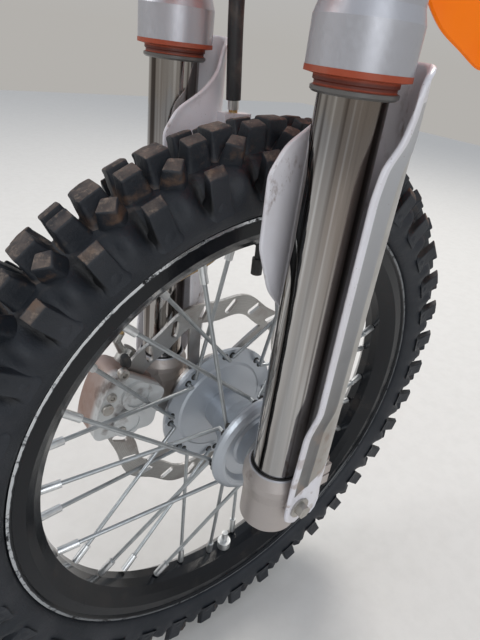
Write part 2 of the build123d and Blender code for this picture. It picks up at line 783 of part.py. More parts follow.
def lower_clamp():
    return clamp(lower_clamp_bottom, lower_clamp_thickness)


def upper_clamp():
    body = clamp(upper_clamp_bottom, upper_clamp_thickness)
    for side in (-1, 1):
        y = side * bar_hole_spacing / 2
        body -= rod_z(bar_hole_r, upper_clamp_bottom, upper_clamp_top, bar_hole_x, y)
    return body


def steering_stem():
    bottom = lower_clamp_bottom
    top = upper_clamp_top + stem_nut_height + stem_end
    return rod_z(stem_r, bottom, top) - rod_z(stem_bore_r, bottom, top)


def stem_nut():
    nut = hex_z(stem_nut_r, upper_clamp_top, upper_clamp_top + stem_nut_height)
    return nut - rod_z(stem_r + fit_gap, upper_clamp_top, upper_clamp_top + stem_nut_height)


def bearing_race(z, opens):
    # outer ring with a coned seat, wide on the side that opens
    half = opens * race_height / 2
    return turned_z([
        (race_r, z - half),
        (race_r, z + half),
        (race_r - race_rim, z + half),
        (race_r - race_rim - cone_rise, z - half),
    ])


def bearing_cone(z, opens):
    # inner ring that fills the race's cone and stands on a collar on the open side
    half = opens * race_height / 2
    wide = race_r - race_rim - cone_gap
    collar = opens * cone_collar
    return turned_z([
        (stem_r + fit_gap, z - half),
        (wide - cone_rise, z - half),
        (wide, z + half),
        (wide, z + half + collar),
        (stem_r + fit_gap, z + half + collar),
    ])


def stem_adjuster():
    # slotted ring nut between the upper bearing and the upper clamp
    low = bearing_spacing + race_height / 2 + cone_collar
    ring = rod_z(adjuster_r, low, upper_clamp_bottom)
    ring -= rod_z(stem_r + fit_gap, low, upper_clamp_bottom)
    return ring


def clamp_bolts(bottom, thickness, count):
    # cap screws across the slots behind each leg
    made = []
    eye = clamp_zone_r + fit_gap + clamp_wall
    x = clamp_offset - eye - 3.2
    for side in (-1, 1):
        for k in range(count):
            z = bottom + thickness * (k + 0.5) / count
            face = side * (leg_y + clamp_ear_half)
            made.append(rod_y(clamp_bolt_head_r, face, face + side * clamp_bolt_head, x, z).solid())
    return Compound(children=made)


def guard_screws():
    made = []
    for _, side in SIDES:
        y = side * (leg_y + guard_inner_r + guard_wall)
        height = guard_screw_height - axle_drop
        face = y + side * guard_washer
        washer = rod_y(guard_washer_r, y, face, clamp_offset, height)
        head = hex_y(guard_screw_head_r, face, face + side * guard_screw_head, clamp_offset, height)
        shank = rod_y(guard_screw_r, y, y - side * (guard_wall + guard_screw_depth), clamp_offset, height)
        made.append((washer + head + shank).solid())
    return Compound(children=made)


# Brake hose, from the caliper up the left leg to the end above the upper clamp

def route(spots):
    # straight runs joined by arcs as large as the runs allow
    radii = []
    for before, at, after in zip(spots, spots[1:], spots[2:]):
        turn = radians((at - before).get_angle(after - at))
        run = min((at - before).length, (after - at).length)
        radii.append(0.45 * run / tan(turn / 2))
    print("hose bend radii", [round(r) for r in radii])
    return FilletPolyline(*spots, radius=radii)


def spots_from_axle(points):
    return [Vector(axle_x + x, y, h - axle_drop) for x, y, h in points]


def hose_spots():
    return spots_from_axle(hose_points) + [Vector(*p) for p in hose_top_points]


def tube_along(spots, radius):
    line = route(spots)
    plane = Plane(origin=line @ 0, z_dir=line % 0)
    tube = sweep(plane * Circle(radius), path=line)
    share = tube.volume / (pi * radius ** 2 * line.length)
    print("hose length", line.length, "volume over section times length", share)
    return tube


def hose_fittings():
    made = []
    upper = hose_spots()
    top, way = upper[-1], (upper[-1] - upper[-2]).normalized()
    crimp = bar_between(hose_r + 0.6, top, top + way * (hose_eye_reach - banjo_r + 1.5))
    eye = top + way * hose_eye_reach
    ring = Pos(eye.X, eye.Y, eye.Z) * Rot(90, 0, 0) * Cylinder(banjo_r, banjo_height)
    hole = Pos(eye.X, eye.Y, eye.Z) * Rot(90, 0, 0) * Cylinder(banjo_hole_r, banjo_height)
    print("upper banjo eye", eye)
    made.append(((crimp + ring) - hole).solid())
    up = (upper[1] - upper[0]).normalized()
    made.append(bar_between(line_r + 0.6, upper[0] - up * 6.0, upper[0]).solid())
    lower = spots_from_axle(line_points)
    end, way = lower[-1], (lower[-1] - lower[-2]).normalized()
    crimp = bar_between(line_r + 0.8, end, end + way * 8.0)
    centre, bolt_way = caliper_port()
    eye = bar_between(port_eye_r, centre, centre + bolt_way * banjo_height)
    bolt = bar_between(5.5, centre + bolt_way * banjo_height, centre + bolt_way * (banjo_height + 4.0))
    neck = bar_between(3.0, end + way * 7.0, centre + bolt_way * banjo_height / 2)
    made.append((crimp + neck + eye + bolt).solid())
    return Compound(children=made)


def caliper_port():
    # middle of the caliper's upper end face, and the way out of it
    a = radians(caliper_angle - caliper_span / 2)
    centre = Vector(axle_x + port_r * cos(a), port_y, port_r * sin(a) - axle_drop)
    return centre, Vector(sin(a), 0, -cos(a))


def hose_guide():
    # clip that holds the hose to the left guard's wheel side
    x, y, h = hose_points[0]
    low, high = h - 16.0, h - 8.0
    arm_face = leg_y - guard_inner_r - guard_wall
    width = arm_face - seat_gap - (y - 6.0)
    block = Pos(axle_x + x + 1.0, arm_face - seat_gap - width / 2, (low + high) / 2 - axle_drop)
    body = block * Box(22.0, width, high - low)
    body -= tube_hole()
    return body


def tube_hole():
    a, b = spots_from_axle(line_points[:2])
    way = (b - a).normalized()
    return bar_between(line_r + fit_gap, a - way * 5.0, b)


# Front fender

def fender_section(x, crown, half_width, lip, inset):
    # arch across the bike, from its crown and lip below the lower clamp
    w = half_width - inset
    top = -crown - inset
    low = -lip - (4.0 if inset else 0.0)
    side = top - (top + lip) * 0.35
    edges = Line((-w, low), (-w * 0.93, side))
    edges += ThreePointArc((-w * 0.93, side), (0, top), (w * 0.93, side))
    edges += Line((w * 0.93, side), (w, low)) + Line((w, low), (-w, low))
    return Plane(origin=(x, 0, lower_clamp_bottom), x_dir=(0, 1, 0), z_dir=(1, 0, 0)) * make_face(edges)


def fender_shell(stations):
    outer = loft([fender_section(*s, 0.0) for s in stations], ruled=True)
    inner = loft([fender_section(*s, fender_wall) for s in stations], ruled=True)
    return outer - inner


def front_fender():
    shell = fender_shell(fender_rear) + fender_shell(fender_front)
    for x, y in fender_bolt_places:
        low = lower_clamp_bottom - fender_boss_length
        shell += rod_z(fender_boss_r, low, lower_clamp_bottom - seat_gap, x, y)
    return shell


def fender_bolts():
    made = []
    face = lower_clamp_bottom - fender_boss_length
    for x, y in fender_bolt_places:
        made.append(rod_z(fender_bolt_r, face - 4.0, face, x, y).solid())
    return Compound(children=made)


shapes = {}


def build():
    for name, side in SIDES:
        shapes["inner_tube_" + name] = at_leg(inner_tube(), side)
        shapes["outer_tube_" + name] = at_leg(outer_tube(), side)
        shapes["fork_cap_" + name] = at_leg(fork_cap(), side)
        shapes["dust_seal_" + name] = at_leg(dust_seal(), side)
        shapes["axle_lug_" + name] = at_leg(axle_lug(side), side)
        shapes["fork_guard_" + name] = at_leg(guard(side), side)
        shapes["wheel_spacer_" + name] = at_axle(wheel_spacer(side))
    shapes["lug_bolts"] = lug_bolts()
    shapes["guard_screws"] = guard_screws()
    shapes["axle"] = at_axle(axle())
    shapes["axle_nut"] = at_axle(axle_nut())
    shapes["tyre"] = at_axle(tyre())
    shapes["rim"] = at_axle(rim())
    shapes["spokes"] = at_axle(spokes())
    shapes["nipples"] = at_axle(nipples())
    shapes["hub"] = at_axle(hub())
    shapes["hub_seals"] = at_axle(hub_seals())
    shapes["brake_disc"] = at_axle(brake_disc())
    shapes["disc_bolts"] = at_axle(disc_bolts())
    shapes["tyre_valve"] = at_axle(tyre_valve())
    shapes["rim_lock"] = at_axle(rim_lock())
    shapes["caliper_body"] = at_axle(caliper_body())
    shapes["brake_pads"] = at_axle(brake_pads())
    shapes["caliper_bolts"] = at_axle(caliper_bolts())
    shapes["brake_hose"] = tube_along(hose_spots(), hose_r)
    shapes["brake_line"] = tube_along(spots_from_axle(line_points), line_r)
    shapes["hose_fittings"] = hose_fittings()
    shapes["hose_guide"] = hose_guide()
    shapes["lower_clamp"] = lower_clamp()
    shapes["upper_clamp"] = upper_clamp()
    shapes["lower_clamp_bolts"] = clamp_bolts(lower_clamp_bottom, lower_clamp_thickness, 2)
    shapes["upper_clamp_bolts"] = clamp_bolts(upper_clamp_bottom, upper_clamp_thickness, 2)
    shapes["steering_stem"] = steering_stem()
    shapes["stem_nut"] = stem_nut()
    shapes["stem_adjuster"] = stem_adjuster()
    shapes["lower_bearing_race"] = bearing_race(0, -1)
    shapes["upper_bearing_race"] = bearing_race(bearing_spacing, 1)
    shapes["lower_bearing_cone"] = bearing_cone(0, -1)
    shapes["upper_bearing_cone"] = bearing_cone(bearing_spacing, 1)
    shapes["front_fender"] = front_fender()
    shapes["fender_bolts"] = fender_bolts()


build()
os.makedirs("parts", exist_ok=True)
for node, shape in shapes.items():
    export_step(shape, "parts/" + node + ".step")
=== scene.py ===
import json
from collections import namedtuple
from math import cos, exp, pi, radians, sin, sqrt, tan

import bpy
from mathutils import Matrix, Vector


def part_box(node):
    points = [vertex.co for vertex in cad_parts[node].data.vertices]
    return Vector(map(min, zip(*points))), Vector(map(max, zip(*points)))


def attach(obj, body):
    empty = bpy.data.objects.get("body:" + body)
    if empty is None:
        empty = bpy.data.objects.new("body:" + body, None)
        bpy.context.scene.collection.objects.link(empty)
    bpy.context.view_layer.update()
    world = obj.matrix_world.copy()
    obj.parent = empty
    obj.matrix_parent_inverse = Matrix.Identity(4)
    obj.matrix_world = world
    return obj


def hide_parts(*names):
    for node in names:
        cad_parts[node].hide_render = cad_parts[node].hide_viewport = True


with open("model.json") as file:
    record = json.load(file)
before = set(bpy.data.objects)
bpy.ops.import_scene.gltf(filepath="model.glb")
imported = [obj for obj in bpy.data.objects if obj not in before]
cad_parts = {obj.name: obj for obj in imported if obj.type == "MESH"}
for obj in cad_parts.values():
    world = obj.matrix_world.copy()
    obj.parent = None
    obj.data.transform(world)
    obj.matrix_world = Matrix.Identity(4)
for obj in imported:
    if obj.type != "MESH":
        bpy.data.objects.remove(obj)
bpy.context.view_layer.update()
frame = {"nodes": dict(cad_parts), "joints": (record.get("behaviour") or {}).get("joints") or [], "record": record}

MM = 0.001
scene = bpy.context.scene
nodes = frame["nodes"]

# The wheel's centre, from the frame's own joint
axle = Vector(next(j["pos_m"] for j in frame["joints"] if j["name"] == "wheel_spin"))
tyre_reach = 0.2455             # from the axle to the floor
floor_z = axle.z - tyre_reach


# Camera, at the photograph's viewing angle

camera_place = Vector((-0.1686, -0.2402, -0.1802))
camera_right = Vector((0.7899, -0.6025, 0.1147))
camera_up = Vector((0.2194, 0.4523, 0.8645))
focal_pixels = 496.55
picture_height = 640

lens = bpy.data.cameras.new("camera")
lens.sensor_fit = "VERTICAL"
lens.sensor_height = 24.0
lens.lens = focal_pixels / picture_height * lens.sensor_height
lens.clip_start = 0.01
camera = bpy.data.objects.new("camera", lens)
scene.collection.objects.link(camera)
back = camera_right.cross(camera_up).normalized()
up = back.cross(camera_right).normalized()
turn = Matrix((camera_right.normalized(), up, back)).transposed()
camera.matrix_world = Matrix.Translation(camera_place) @ turn.to_4x4()
scene.camera = camera
scene.view_settings.view_transform = "Standard"


# Materials

class Paint:
    """A material and short calls for its nodes."""

    def __init__(self, name, color, rough, metal=0.0):
        self.mat = bpy.data.materials.new(name)
        self.mat.use_nodes = True
        self.tree = self.mat.node_tree
        self.shader = self.tree.nodes["Principled BSDF"]
        self.shader.inputs["Base Color"].default_value = (*color, 1)
        self.shader.inputs["Roughness"].default_value = rough
        self.shader.inputs["Metallic"].default_value = metal
        self.color = color
        self.coord = self.tree.nodes.new("ShaderNodeTexCoord").outputs["Object"]
        self.base = None
        self.rough = None
        self.height = None

    def node(self, kind, **values):
        made = self.tree.nodes.new(kind)
        for key, value in values.items():
            setattr(made, key, value)
        return made

    def link(self, a, b):
        self.tree.links.new(a, b)

    def stretched(self, texture, stretch):
        """Gives a texture the object's own coordinates, scaled by stretch."""
        mapping = self.node("ShaderNodeMapping")
        mapping.inputs["Scale"].default_value = stretch
        self.link(self.coord, mapping.inputs["Vector"])
        self.link(mapping.outputs["Vector"], texture.inputs["Vector"])

    def noise(self, scale, detail, rough=0.55, stretch=(1, 1, 1)):
        made = self.node("ShaderNodeTexNoise")
        made.inputs["Scale"].default_value = scale
        made.inputs["Detail"].default_value = detail
        made.inputs["Roughness"].default_value = rough
        self.stretched(made, stretch)
        return made.outputs["Fac"]

    def cells(self, scale, stretch=(1, 1, 1)):
        made = self.node("ShaderNodeTexVoronoi")
        made.inputs["Scale"].default_value = scale
        self.stretched(made, stretch)
        return made.outputs["Distance"]

    def ramp(self, value, low, high, start=0.0, end=1.0):
        """value from low to high becomes start to end."""
        made = self.node("ShaderNodeMapRange")
        made.clamp = True
        for key, number in (("From Min", low), ("From Max", high), ("To Min", start), ("To Max", end)):
            made.inputs[key].default_value = number
        self.link(value, made.inputs["Value"])
        return made.outputs["Result"]

    def band(self, value, rise, fall):
        """1 between two values, 0 outside them."""
        return self.times(self.ramp(value, *rise), self.ramp(value, *fall))

    def math(self, kind, a, b=None):
        made = self.node("ShaderNodeMath", operation=kind)
        for socket, value in zip(made.inputs, (a, b)):
            if value is None:
                continue
            if isinstance(value, (int, float)):
                socket.default_value = value
            else:
                self.link(value, socket)
        return made.outputs["Value"]

    def times(self, a, b):
        return self.math("MULTIPLY", a, b)

    def along(self, axis):
        """The place along one axis of the frame, in metres."""
        split = self.node("ShaderNodeSeparateXYZ")
        self.link(self.coord, split.inputs["Vector"])
        return split.outputs[axis]

    def from_axle(self):
        """x and z from the axle's line, in metres."""
        return self.math("SUBTRACT", self.along("X"), axle.x), self.math("SUBTRACT", self.along("Z"), axle.z)

    def radius(self):
        """Distance from the axle's line, in metres."""
        x, z = self.from_axle()
        return self.math("SQRT", self.math("ADD", self.times(x, x), self.times(z, z)))

    def in_pitch(self, first_angle, count):
        """Place in the wheel's pattern, from 0 to 1, from the first angle in degrees on."""
        x, z = self.from_axle()
        angle = self.math("SUBTRACT", self.math("ARCTAN2", z, x), radians(first_angle) - 2 * pi)
        return self.math("FRACT", self.times(angle, count / (2 * pi)))

    def outward(self):
        """How far the surface faces away from the axle's line, from -1 to 1."""
        coord = self.node("ShaderNodeTexCoord")
        spot = self.node("ShaderNodeVectorMath", operation="SUBTRACT")
        self.link(coord.outputs["Object"], spot.inputs[0])
        spot.inputs[1].default_value = axle
        flat = self.node("ShaderNodeVectorMath", operation="MULTIPLY")
        self.link(spot.outputs["Vector"], flat.inputs[0])
        flat.inputs[1].default_value = (1, 0, 1)
        way = self.node("ShaderNodeVectorMath", operation="NORMALIZE")
        self.link(flat.outputs["Vector"], way.inputs[0])
        made = self.node("ShaderNodeVectorMath", operation="DOT_PRODUCT")
        self.link(way.outputs["Vector"], made.inputs[0])
        self.link(coord.outputs["Normal"], made.inputs[1])
        return made.outputs["Value"]

    def measured(self, name):
        """A number that the mesh carries at each point."""
        return self.node("ShaderNodeAttribute", attribute_name=name).outputs["Fac"]

    def tint(self, color, share):
        """Mixes a colour in, by share."""
        made = self.node("ShaderNodeMix", data_type="RGBA")
        if self.base is None:
            made.inputs["A"].default_value = (*self.color, 1)
        else:
            self.link(self.base, made.inputs["A"])
        made.inputs["B"].default_value = (*color, 1)
        self.link(share, made.inputs["Factor"])
        self.base = made.outputs["Result"]
        self.link(self.base, self.shader.inputs["Base Color"])

    def roughen(self, share, value):
        """Moves the roughness towards value, by share."""
        made = self.node("ShaderNodeMix", data_type="FLOAT")
        if self.rough is None:
            made.inputs["A"].default_value = self.shader.inputs["Roughness"].default_value
        else:
            self.link(self.rough, made.inputs["A"])
        made.inputs["B"].default_value = value
        self.link(share, made.inputs["Factor"])
        self.rough = made.outputs["Result"]
        self.link(self.rough, self.shader.inputs["Roughness"])

    def bare(self, share, metal):
        """Moves the metallic value towards metal, by share."""
        made = self.node("ShaderNodeMix", data_type="FLOAT")
        made.inputs["A"].default_value = self.shader.inputs["Metallic"].default_value
        made.inputs["B"].default_value = metal
        self.link(share, made.inputs["Factor"])
        self.link(made.outputs["Result"], self.shader.inputs["Metallic"])

    def bump(self, value, depth):
        """Adds relief, depth in metres for a value from 0 to 1."""
        made = self.node("ShaderNodeBump")
        made.inputs["Distance"].default_value = depth
        made.inputs["Strength"].default_value = 1.0
        self.link(value, made.inputs["Height"])
        if self.height is not None:
            self.link(self.height, made.inputs["Normal"])
        self.height = made.outputs["Normal"]
        self.link(self.height, self.shader.inputs["Normal"])


DUST = (0.36, 0.29, 0.23)
DIRT = (0.07, 0.045, 0.03)
RUST = (0.2, 0.09, 0.035)

seal_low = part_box("dust_seal_left")[0].z
seal_spring = (0.0027, 0.0031)  # above the seal's lower end
seal_groove_rise, seal_groove_fall = (0.0030, 0.0040), (0.0070, 0.0060)
caliper_behind = (axle.y + 0.034, axle.y + 0.040)       # behind the disc
# Painted shade over the guard's grey field, growing downwards
field_shade_downwards = (axle.z + 0.25, axle.z + 0.09)          # the guard's grey field, downwards
mud_fades = (axle.z + 0.12, axle.z + 0.02)              # mud on the guard
tread_pitches = 37
first_knob_angle = 116.3        # degrees round the axle
worst_rim_angle = 88            # the rim is scratched most from here on, to the wheel's back
# Distances from the axle's line between which a look starts, and then ends
knobs_start, tops_start = (0.2235, 0.2275), (0.2325, 0.2345)
shoulder_start, shoulder_end = (0.2255, 0.2275), (0.2350, 0.2330)
valley_start, valley_end = (0.2285, 0.2300), (0.2375, 0.2335)
# Where the painted shade in the shoulder hollows starts and ends
hollow_shade_start, hollow_shade_end = (0.2065, 0.2110), (0.2285, 0.2255)
rim_edge, rim_bed = (0.1903, 0.1908), (0.186, 0.17)
pad_track = (0.075, 0.078)


def chrome():
    m = Paint("chrome", (0.44, 0.43, 0.42), 0.06, 1.0)
    grime_and_reflection_film = m.noise(46, 3, 0.5, stretch=(1, 1, 0.04))
    reflection_streaks = m.noise(105, 3, 0.55, stretch=(1, 1, 0.012))
    fine = m.noise(420, 3, stretch=(1, 1, 0.01))
    # Painted reflections: a brown film, partly grime and partly painted reflection, dark streaks as painted dark
    # reflections, and pale streaks as painted highlights.
    m.tint((0.19, 0.155, 0.13), m.ramp(grime_and_reflection_film, 0.44, 0.6, 0, 0.85))
    m.tint((0.035, 0.025, 0.02), m.ramp(reflection_streaks, 0.52, 0.6, 0, 0.85))
    m.tint((0.66, 0.65, 0.64), m.ramp(reflection_streaks, 0.43, 0.36, 0, 0.8))
    m.tint((0.1, 0.08, 0.07), m.ramp(fine, 0.55, 0.68, 0, 0.3))
    m.roughen(m.ramp(grime_and_reflection_film, 0.45, 0.8), 0.2)
    return m


def satin_aluminium(name, color, rough, metal):
    m = Paint(name, color, rough, metal)
    m.tint([0.82 * c for c in color], m.ramp(m.noise(9, 5), 0.4, 0.75, 0, 0.5))
    m.roughen(m.ramp(m.noise(420, 2), 0.4, 0.7), rough + 0.12)
    m.bump(m.noise(1800, 2), 0.00002)
    return m


def cast_metal(name, color, metal, dusty, rough=0.5):
    m = Paint(name, color, rough, metal)
    m.tint(DUST, m.ramp(m.noise(16, 6), 0.42, 0.72, 0, dusty))
    m.tint(DIRT, m.ramp(m.noise(60, 6), 0.62, 0.8, 0, 0.7))
    m.roughen(m.ramp(m.noise(50, 4), 0.35, 0.7), rough + 0.2)
    m.bump(m.noise(900, 3), 0.00012)
    return m


def caliper_cast():
    """Bright casting towards the wheel, brown and dusty behind the disc."""
    m = cast_metal("caliper_cast", (0.60, 0.61, 0.61), 0.5, 0.25)
    behind = m.ramp(m.along("Y"), *caliper_behind)
    m.tint((0.33, 0.22, 0.18), m.times(behind, m.ramp(m.noise(30, 5), 0.2, 0.6, 0.55, 1.0)))
    m.tint((0.09, 0.05, 0.035), m.ramp(m.noise(44, 6), 0.56, 0.7, 0, 0.8))
    return m


def zinc(name, color, rough, rust=0.0):
    m = Paint(name, color, rough, 0.9)
    m.tint([0.6 * c for c in color], m.ramp(m.noise(120, 5), 0.4, 0.75, 0, 0.6))
    if rust:
        m.tint(RUST, m.ramp(m.noise(260, 5), 0.55, 0.75, 0, rust))
    m.roughen(m.ramp(m.noise(500, 3), 0.4, 0.7), rough + 0.2)
    m.bump(m.noise(1500, 2), 0.00003)
    return m


def guard_plastic():
    """White plastic with smears and specks, and a grey field whose tone is partly painted shade, with painted
    shade growing downwards and painted warm light past the ridge.
    """
    m = Paint("guard_plastic", (0.66, 0.645, 0.68), 0.33)
    m.shader.inputs["Coat Weight"].default_value = 0.25
    m.shader.inputs["Coat Roughness"].default_value = 0.2
    m.tint((0.5, 0.46, 0.45), m.ramp(m.noise(22, 6), 0.45, 0.8, 0, 0.55))
    height = m.along("Z")
    field = m.ramp(m.measured("inside_field"), 0.0, 0.5)
    painted_shade_low = m.ramp(height, *field_shade_downwards, 0, 0.95)
    past_ridge = m.ramp(m.measured("past_ridge"), 0.0, 0.5, 0, 0.8)
    # The grey field: a graphic, its tone partly painted shade.
    m.tint((0.36, 0.36, 0.37), field)
    # Painted shade, growing downwards over the field.
    m.tint((0.075, 0.072, 0.07), m.times(field, painted_shade_low))
    # Painted warm light on the field's strip past the ridge.
    m.tint((0.30, 0.275, 0.24), m.times(field, past_ridge))
    patches = m.ramp(m.noise(18, 3), 0.52, 0.6)
    smears = m.times(m.ramp(m.noise(120, 6, 0.65, stretch=(1, 1, 0.5)), 0.56, 0.64), patches)
    m.tint((0.17, 0.1, 0.07), m.times(smears, 0.75))
    specks = m.ramp(m.cells(420), 0.16, 0.07)
    m.tint((0.16, 0.105, 0.07), m.times(specks, m.ramp(m.noise(35, 3), 0.5, 0.62, 0, 0.9)))
    low = m.ramp(height, *mud_fades)
    spots = m.ramp(m.noise(80, 6), 0.56, 0.66)
    m.tint((0.23, 0.15, 0.1), m.times(m.times(spots, low), 0.75))
    m.roughen(m.ramp(m.noise(60, 5), 0.45, 0.7), 0.55)
    m.bump(m.noise(700, 2), 0.00003)
    return m


def tyre_rubber():
    """Black rubber with worn, dusty knob tops, mud between them, and painted shade in the hollows at the
    shoulders.
    """
    m = Paint("tyre_rubber", (0.009, 0.012, 0.017), 0.5)
    m.shader.inputs["Specular IOR Level"].default_value = 0.38
    r, outward = m.radius(), m.outward()
    tread = m.ramp(r, *knobs_start)
    tops = m.times(m.ramp(r, *tops_start), m.ramp(outward, 0.5, 0.72))
    shoulder = m.band(r, shoulder_start, shoulder_end)
    worn = m.math("MAXIMUM", tops, m.times(shoulder, m.band(outward, (0.36, 0.56), (0.9, 0.8))))
    m.tint((0.028, 0.03, 0.036), m.ramp(m.noise(30, 7), 0.35, 0.75, 0, 0.8))
    m.tint((0.15, 0.118, 0.1), m.times(worn, m.ramp(m.noise(55, 7, 0.65), 0.36, 0.62, 0.12, 0.8)))
    m.tint((0.26, 0.2, 0.155), m.times(worn, m.ramp(m.noise(240, 6, 0.7), 0.52, 0.7, 0, 0.75)))
    valley = m.band(r, valley_start, valley_end)
    m.tint((0.15, 0.085, 0.05), m.times(valley, m.ramp(m.noise(48, 6, 0.7), 0.5, 0.64, 0, 0.6)))
    m.tint((0.13, 0.105, 0.085), m.times(tread, m.ramp(m.noise(200, 6, 0.7), 0.6, 0.76, 0, 0.4)))
    # Painted shade: the hollow beside each shoulder knob is tinted near black.
    beside = m.band(m.in_pitch(first_knob_angle, tread_pitches), (0.155, 0.175), (0.36, 0.27))
    painted_hollow_shade = m.times(beside, m.band(r, hollow_shade_start, hollow_shade_end))
    m.tint((0.0025, 0.0025, 0.003), m.times(painted_hollow_shade, 0.9))
    m.roughen(worn, 0.86)
    m.roughen(m.ramp(m.noise(40, 5), 0.4, 0.7, 0, 0.6), 0.75)
    m.bump(m.noise(420, 5, 0.6), 0.00035)
    m.bump(m.ramp(m.noise(1600, 3), 0.3, 0.7), 0.00008)
    return m


def rim_black():
    """Gloss black, with its edge scratched to bare metal."""
    m = Paint("rim_black", (0.004, 0.005, 0.007), 0.17)
    m.shader.inputs["Specular IOR Level"].default_value = 0.3
    r = m.radius()
    edge = m.ramp(m.math("ADD", r, m.times(m.noise(160, 4), 0.0018)), *rim_edge)
    most = m.band(m.in_pitch(worst_rim_angle, 1), (0.0, 0.03), (0.36, 0.26))
    chips = m.times(m.ramp(m.noise(130, 6, 0.7), 0.38, 0.47), m.ramp(most, 0.0, 1.0, 0.25, 1.0))
    worn = m.times(edge, chips)
    m.tint((0.62, 0.64, 0.66), worn)
    dust = m.times(m.ramp(m.noise(45, 6), 0.55, 0.82, 0, 0.22), m.ramp(r, *rim_bed))
    m.tint((0.13, 0.10, 0.08), dust)
    m.roughen(m.ramp(m.noise(90, 5), 0.55, 0.8), 0.3)
    m.bare(worn, 1.0)
    m.bump(m.noise(300, 4), 0.00006)
    return m


def disc_steel():
    """Heat marked steel, turned to fine rings where the pads run."""
    m = Paint("disc_steel", (0.34, 0.33, 0.32), 0.35, 0.95)
    r = m.radius()
    grooves = m.node("ShaderNodeTexNoise", noise_dimensions="1D")
    grooves.inputs["Scale"].default_value = 2600
    m.link(r, grooves.inputs["W"])
    ring = m.ramp(r, *pad_track)
    m.tint((0.5, 0.49, 0.47), m.times(ring, m.ramp(grooves.outputs["Fac"], 0.35, 0.7)))
    m.tint((0.16, 0.12, 0.1), m.ramp(m.noise(40, 6), 0.5, 0.75, 0, 0.6))
    m.bump(m.times(grooves.outputs["Fac"], ring), 0.00006)
    return m


def bearing_steel():
    m = Paint("bearing_steel", (0.55, 0.55, 0.55), 0.18, 1.0)
    m.tint((0.4, 0.36, 0.3), m.ramp(m.noise(90, 5), 0.5, 0.8, 0, 0.5))
    m.roughen(m.ramp(m.noise(300, 3), 0.4, 0.7), 0.34)
    return m


def rubber(name, color, rough, dusty):
    m = Paint(name, color, rough)
    m.tint(DUST, m.ramp(m.noise(70, 6), 0.5, 0.8, 0, dusty))
    m.roughen(m.ramp(m.noise(150, 5), 0.4, 0.7), rough + 0.2)
    m.bump(m.noise(1300, 3), 0.00006)
    return m


def seal_rubber():
    """Dusty orange rubber with painted shade in its groove, and the grey garter spring at its lower end."""
    m = rubber("seal_rubber", (0.30, 0.045, 0.012), 0.5, 0.2)
    height = m.math("SUBTRACT", m.along("Z"), seal_low)
    groove_shade = m.band(height, seal_groove_rise, seal_groove_fall)
    spring = m.ramp(height, *seal_spring, 1, 0)
    # Painted shade: the groove is darkened.
    m.tint((0.05, 0.008, 0.005), m.times(groove_shade, 0.8))
    m.tint((0.10, 0.095, 0.09), spring)
    m.roughen(spring, 0.3)
    return m


def fender_orange():
    m = Paint("fender_orange", (1.0, 0.2, 0.0), 0.28)
    m.shader.inputs["Specular IOR Level"].default_value = 0.12
    m.tint((0.96, 0.14, 0.0), m.ramp(m.noise(12, 5), 0.45, 0.8, 0, 0.6))
    m.tint((0.7, 0.3, 0.1), m.ramp(m.noise(26, 7), 0.66, 0.88, 0, 0.22))
    m.roughen(m.ramp(m.noise(38, 6), 0.4, 0.7), 0.42)
    m.bump(m.noise(900, 2), 0.00003)
    return m


def line_amber():
    """Clear amber over a steel braid."""
    m = Paint("line_amber", (0.30, 0.17, 0.05), 0.22)
    m.shader.inputs["Coat Weight"].default_value = 0.6
    braid = m.cells(1500, stretch=(1, 1, 0.5))
    m.tint((0.5, 0.36, 0.16), m.ramp(braid, 0.3, 0.7, 0, 0.8))
    m.tint((0.1, 0.06, 0.03), m.ramp(m.noise(90, 5), 0.5, 0.8, 0, 0.6))
    return m


FINISH = {
    "chrome_tube": chrome(),
    "outer_tube": satin_aluminium("outer_tube", (0.45, 0.45, 0.48), 0.34, 0.6),
    "cap_metal": satin_aluminium("cap_metal", (0.70, 0.22, 0.04), 0.3, 0.8),
    "seal_rubber": seal_rubber(),
    "cast_lug": cast_metal("cast_lug", (0.42, 0.38, 0.36), 0.5, 0.35, rough=0.36),
    "guard_plastic": guard_plastic(),
    "steel": zinc("steel", (0.45, 0.43, 0.4), 0.38, 0.5),
    "axle_steel": zinc("axle_steel", (0.52, 0.51, 0.5), 0.26),
    "tyre_rubber": tyre_rubber(),
    "rim_black": rim_black(),
    "spoke_steel": zinc("spoke_steel", (0.42, 0.44, 0.45), 0.34),
    "nipple_steel": zinc("nipple_steel", (0.72, 0.73, 0.73), 0.28),
    "hub_paint": satin_aluminium("hub_paint", (0.47, 0.50, 0.54), 0.3, 0.6),
    "disc_steel": disc_steel(),
    "caliper_cast": caliper_cast(),
    "pad_lining": cast_metal("pad_lining", (0.11, 0.1, 0.09), 0.2, 0.5),
    "hose_black": rubber("hose_black", (0.016, 0.016, 0.017), 0.42, 0.2),
    "line_amber": line_amber(),
    "fitting_zinc": zinc("fitting_zinc", (0.62, 0.61, 0.58), 0.3),
    "clamp_metal": satin_aluminium("clamp_metal", (0.56, 0.56, 0.60), 0.32, 0.75),
    "stem_metal": satin_aluminium("stem_metal", (0.52, 0.52, 0.54), 0.25, 0.9),
    "bearing_steel": bearing_steel(),
    "fender_orange": fender_orange(),
    "valve_black": rubber("valve_black", (0.022, 0.022, 0.022), 0.5, 0.3),
}

for part in frame["record"]["subparts"]:
    mesh = nodes[part["node"]].data
    mesh.materials.clear()
    mesh.materials.append(FINISH[part["material_slot"]].mat)


# Meshes. Below, sizes are in millimetres and places are measured from the middle of the axle.

soft_samples, soft_spread = 4, 2.5              # of eased, to each side


def box_mm(node):
    """Lowest and highest corner of a CAD node."""
    return [(corner - axle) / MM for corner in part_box(node)]


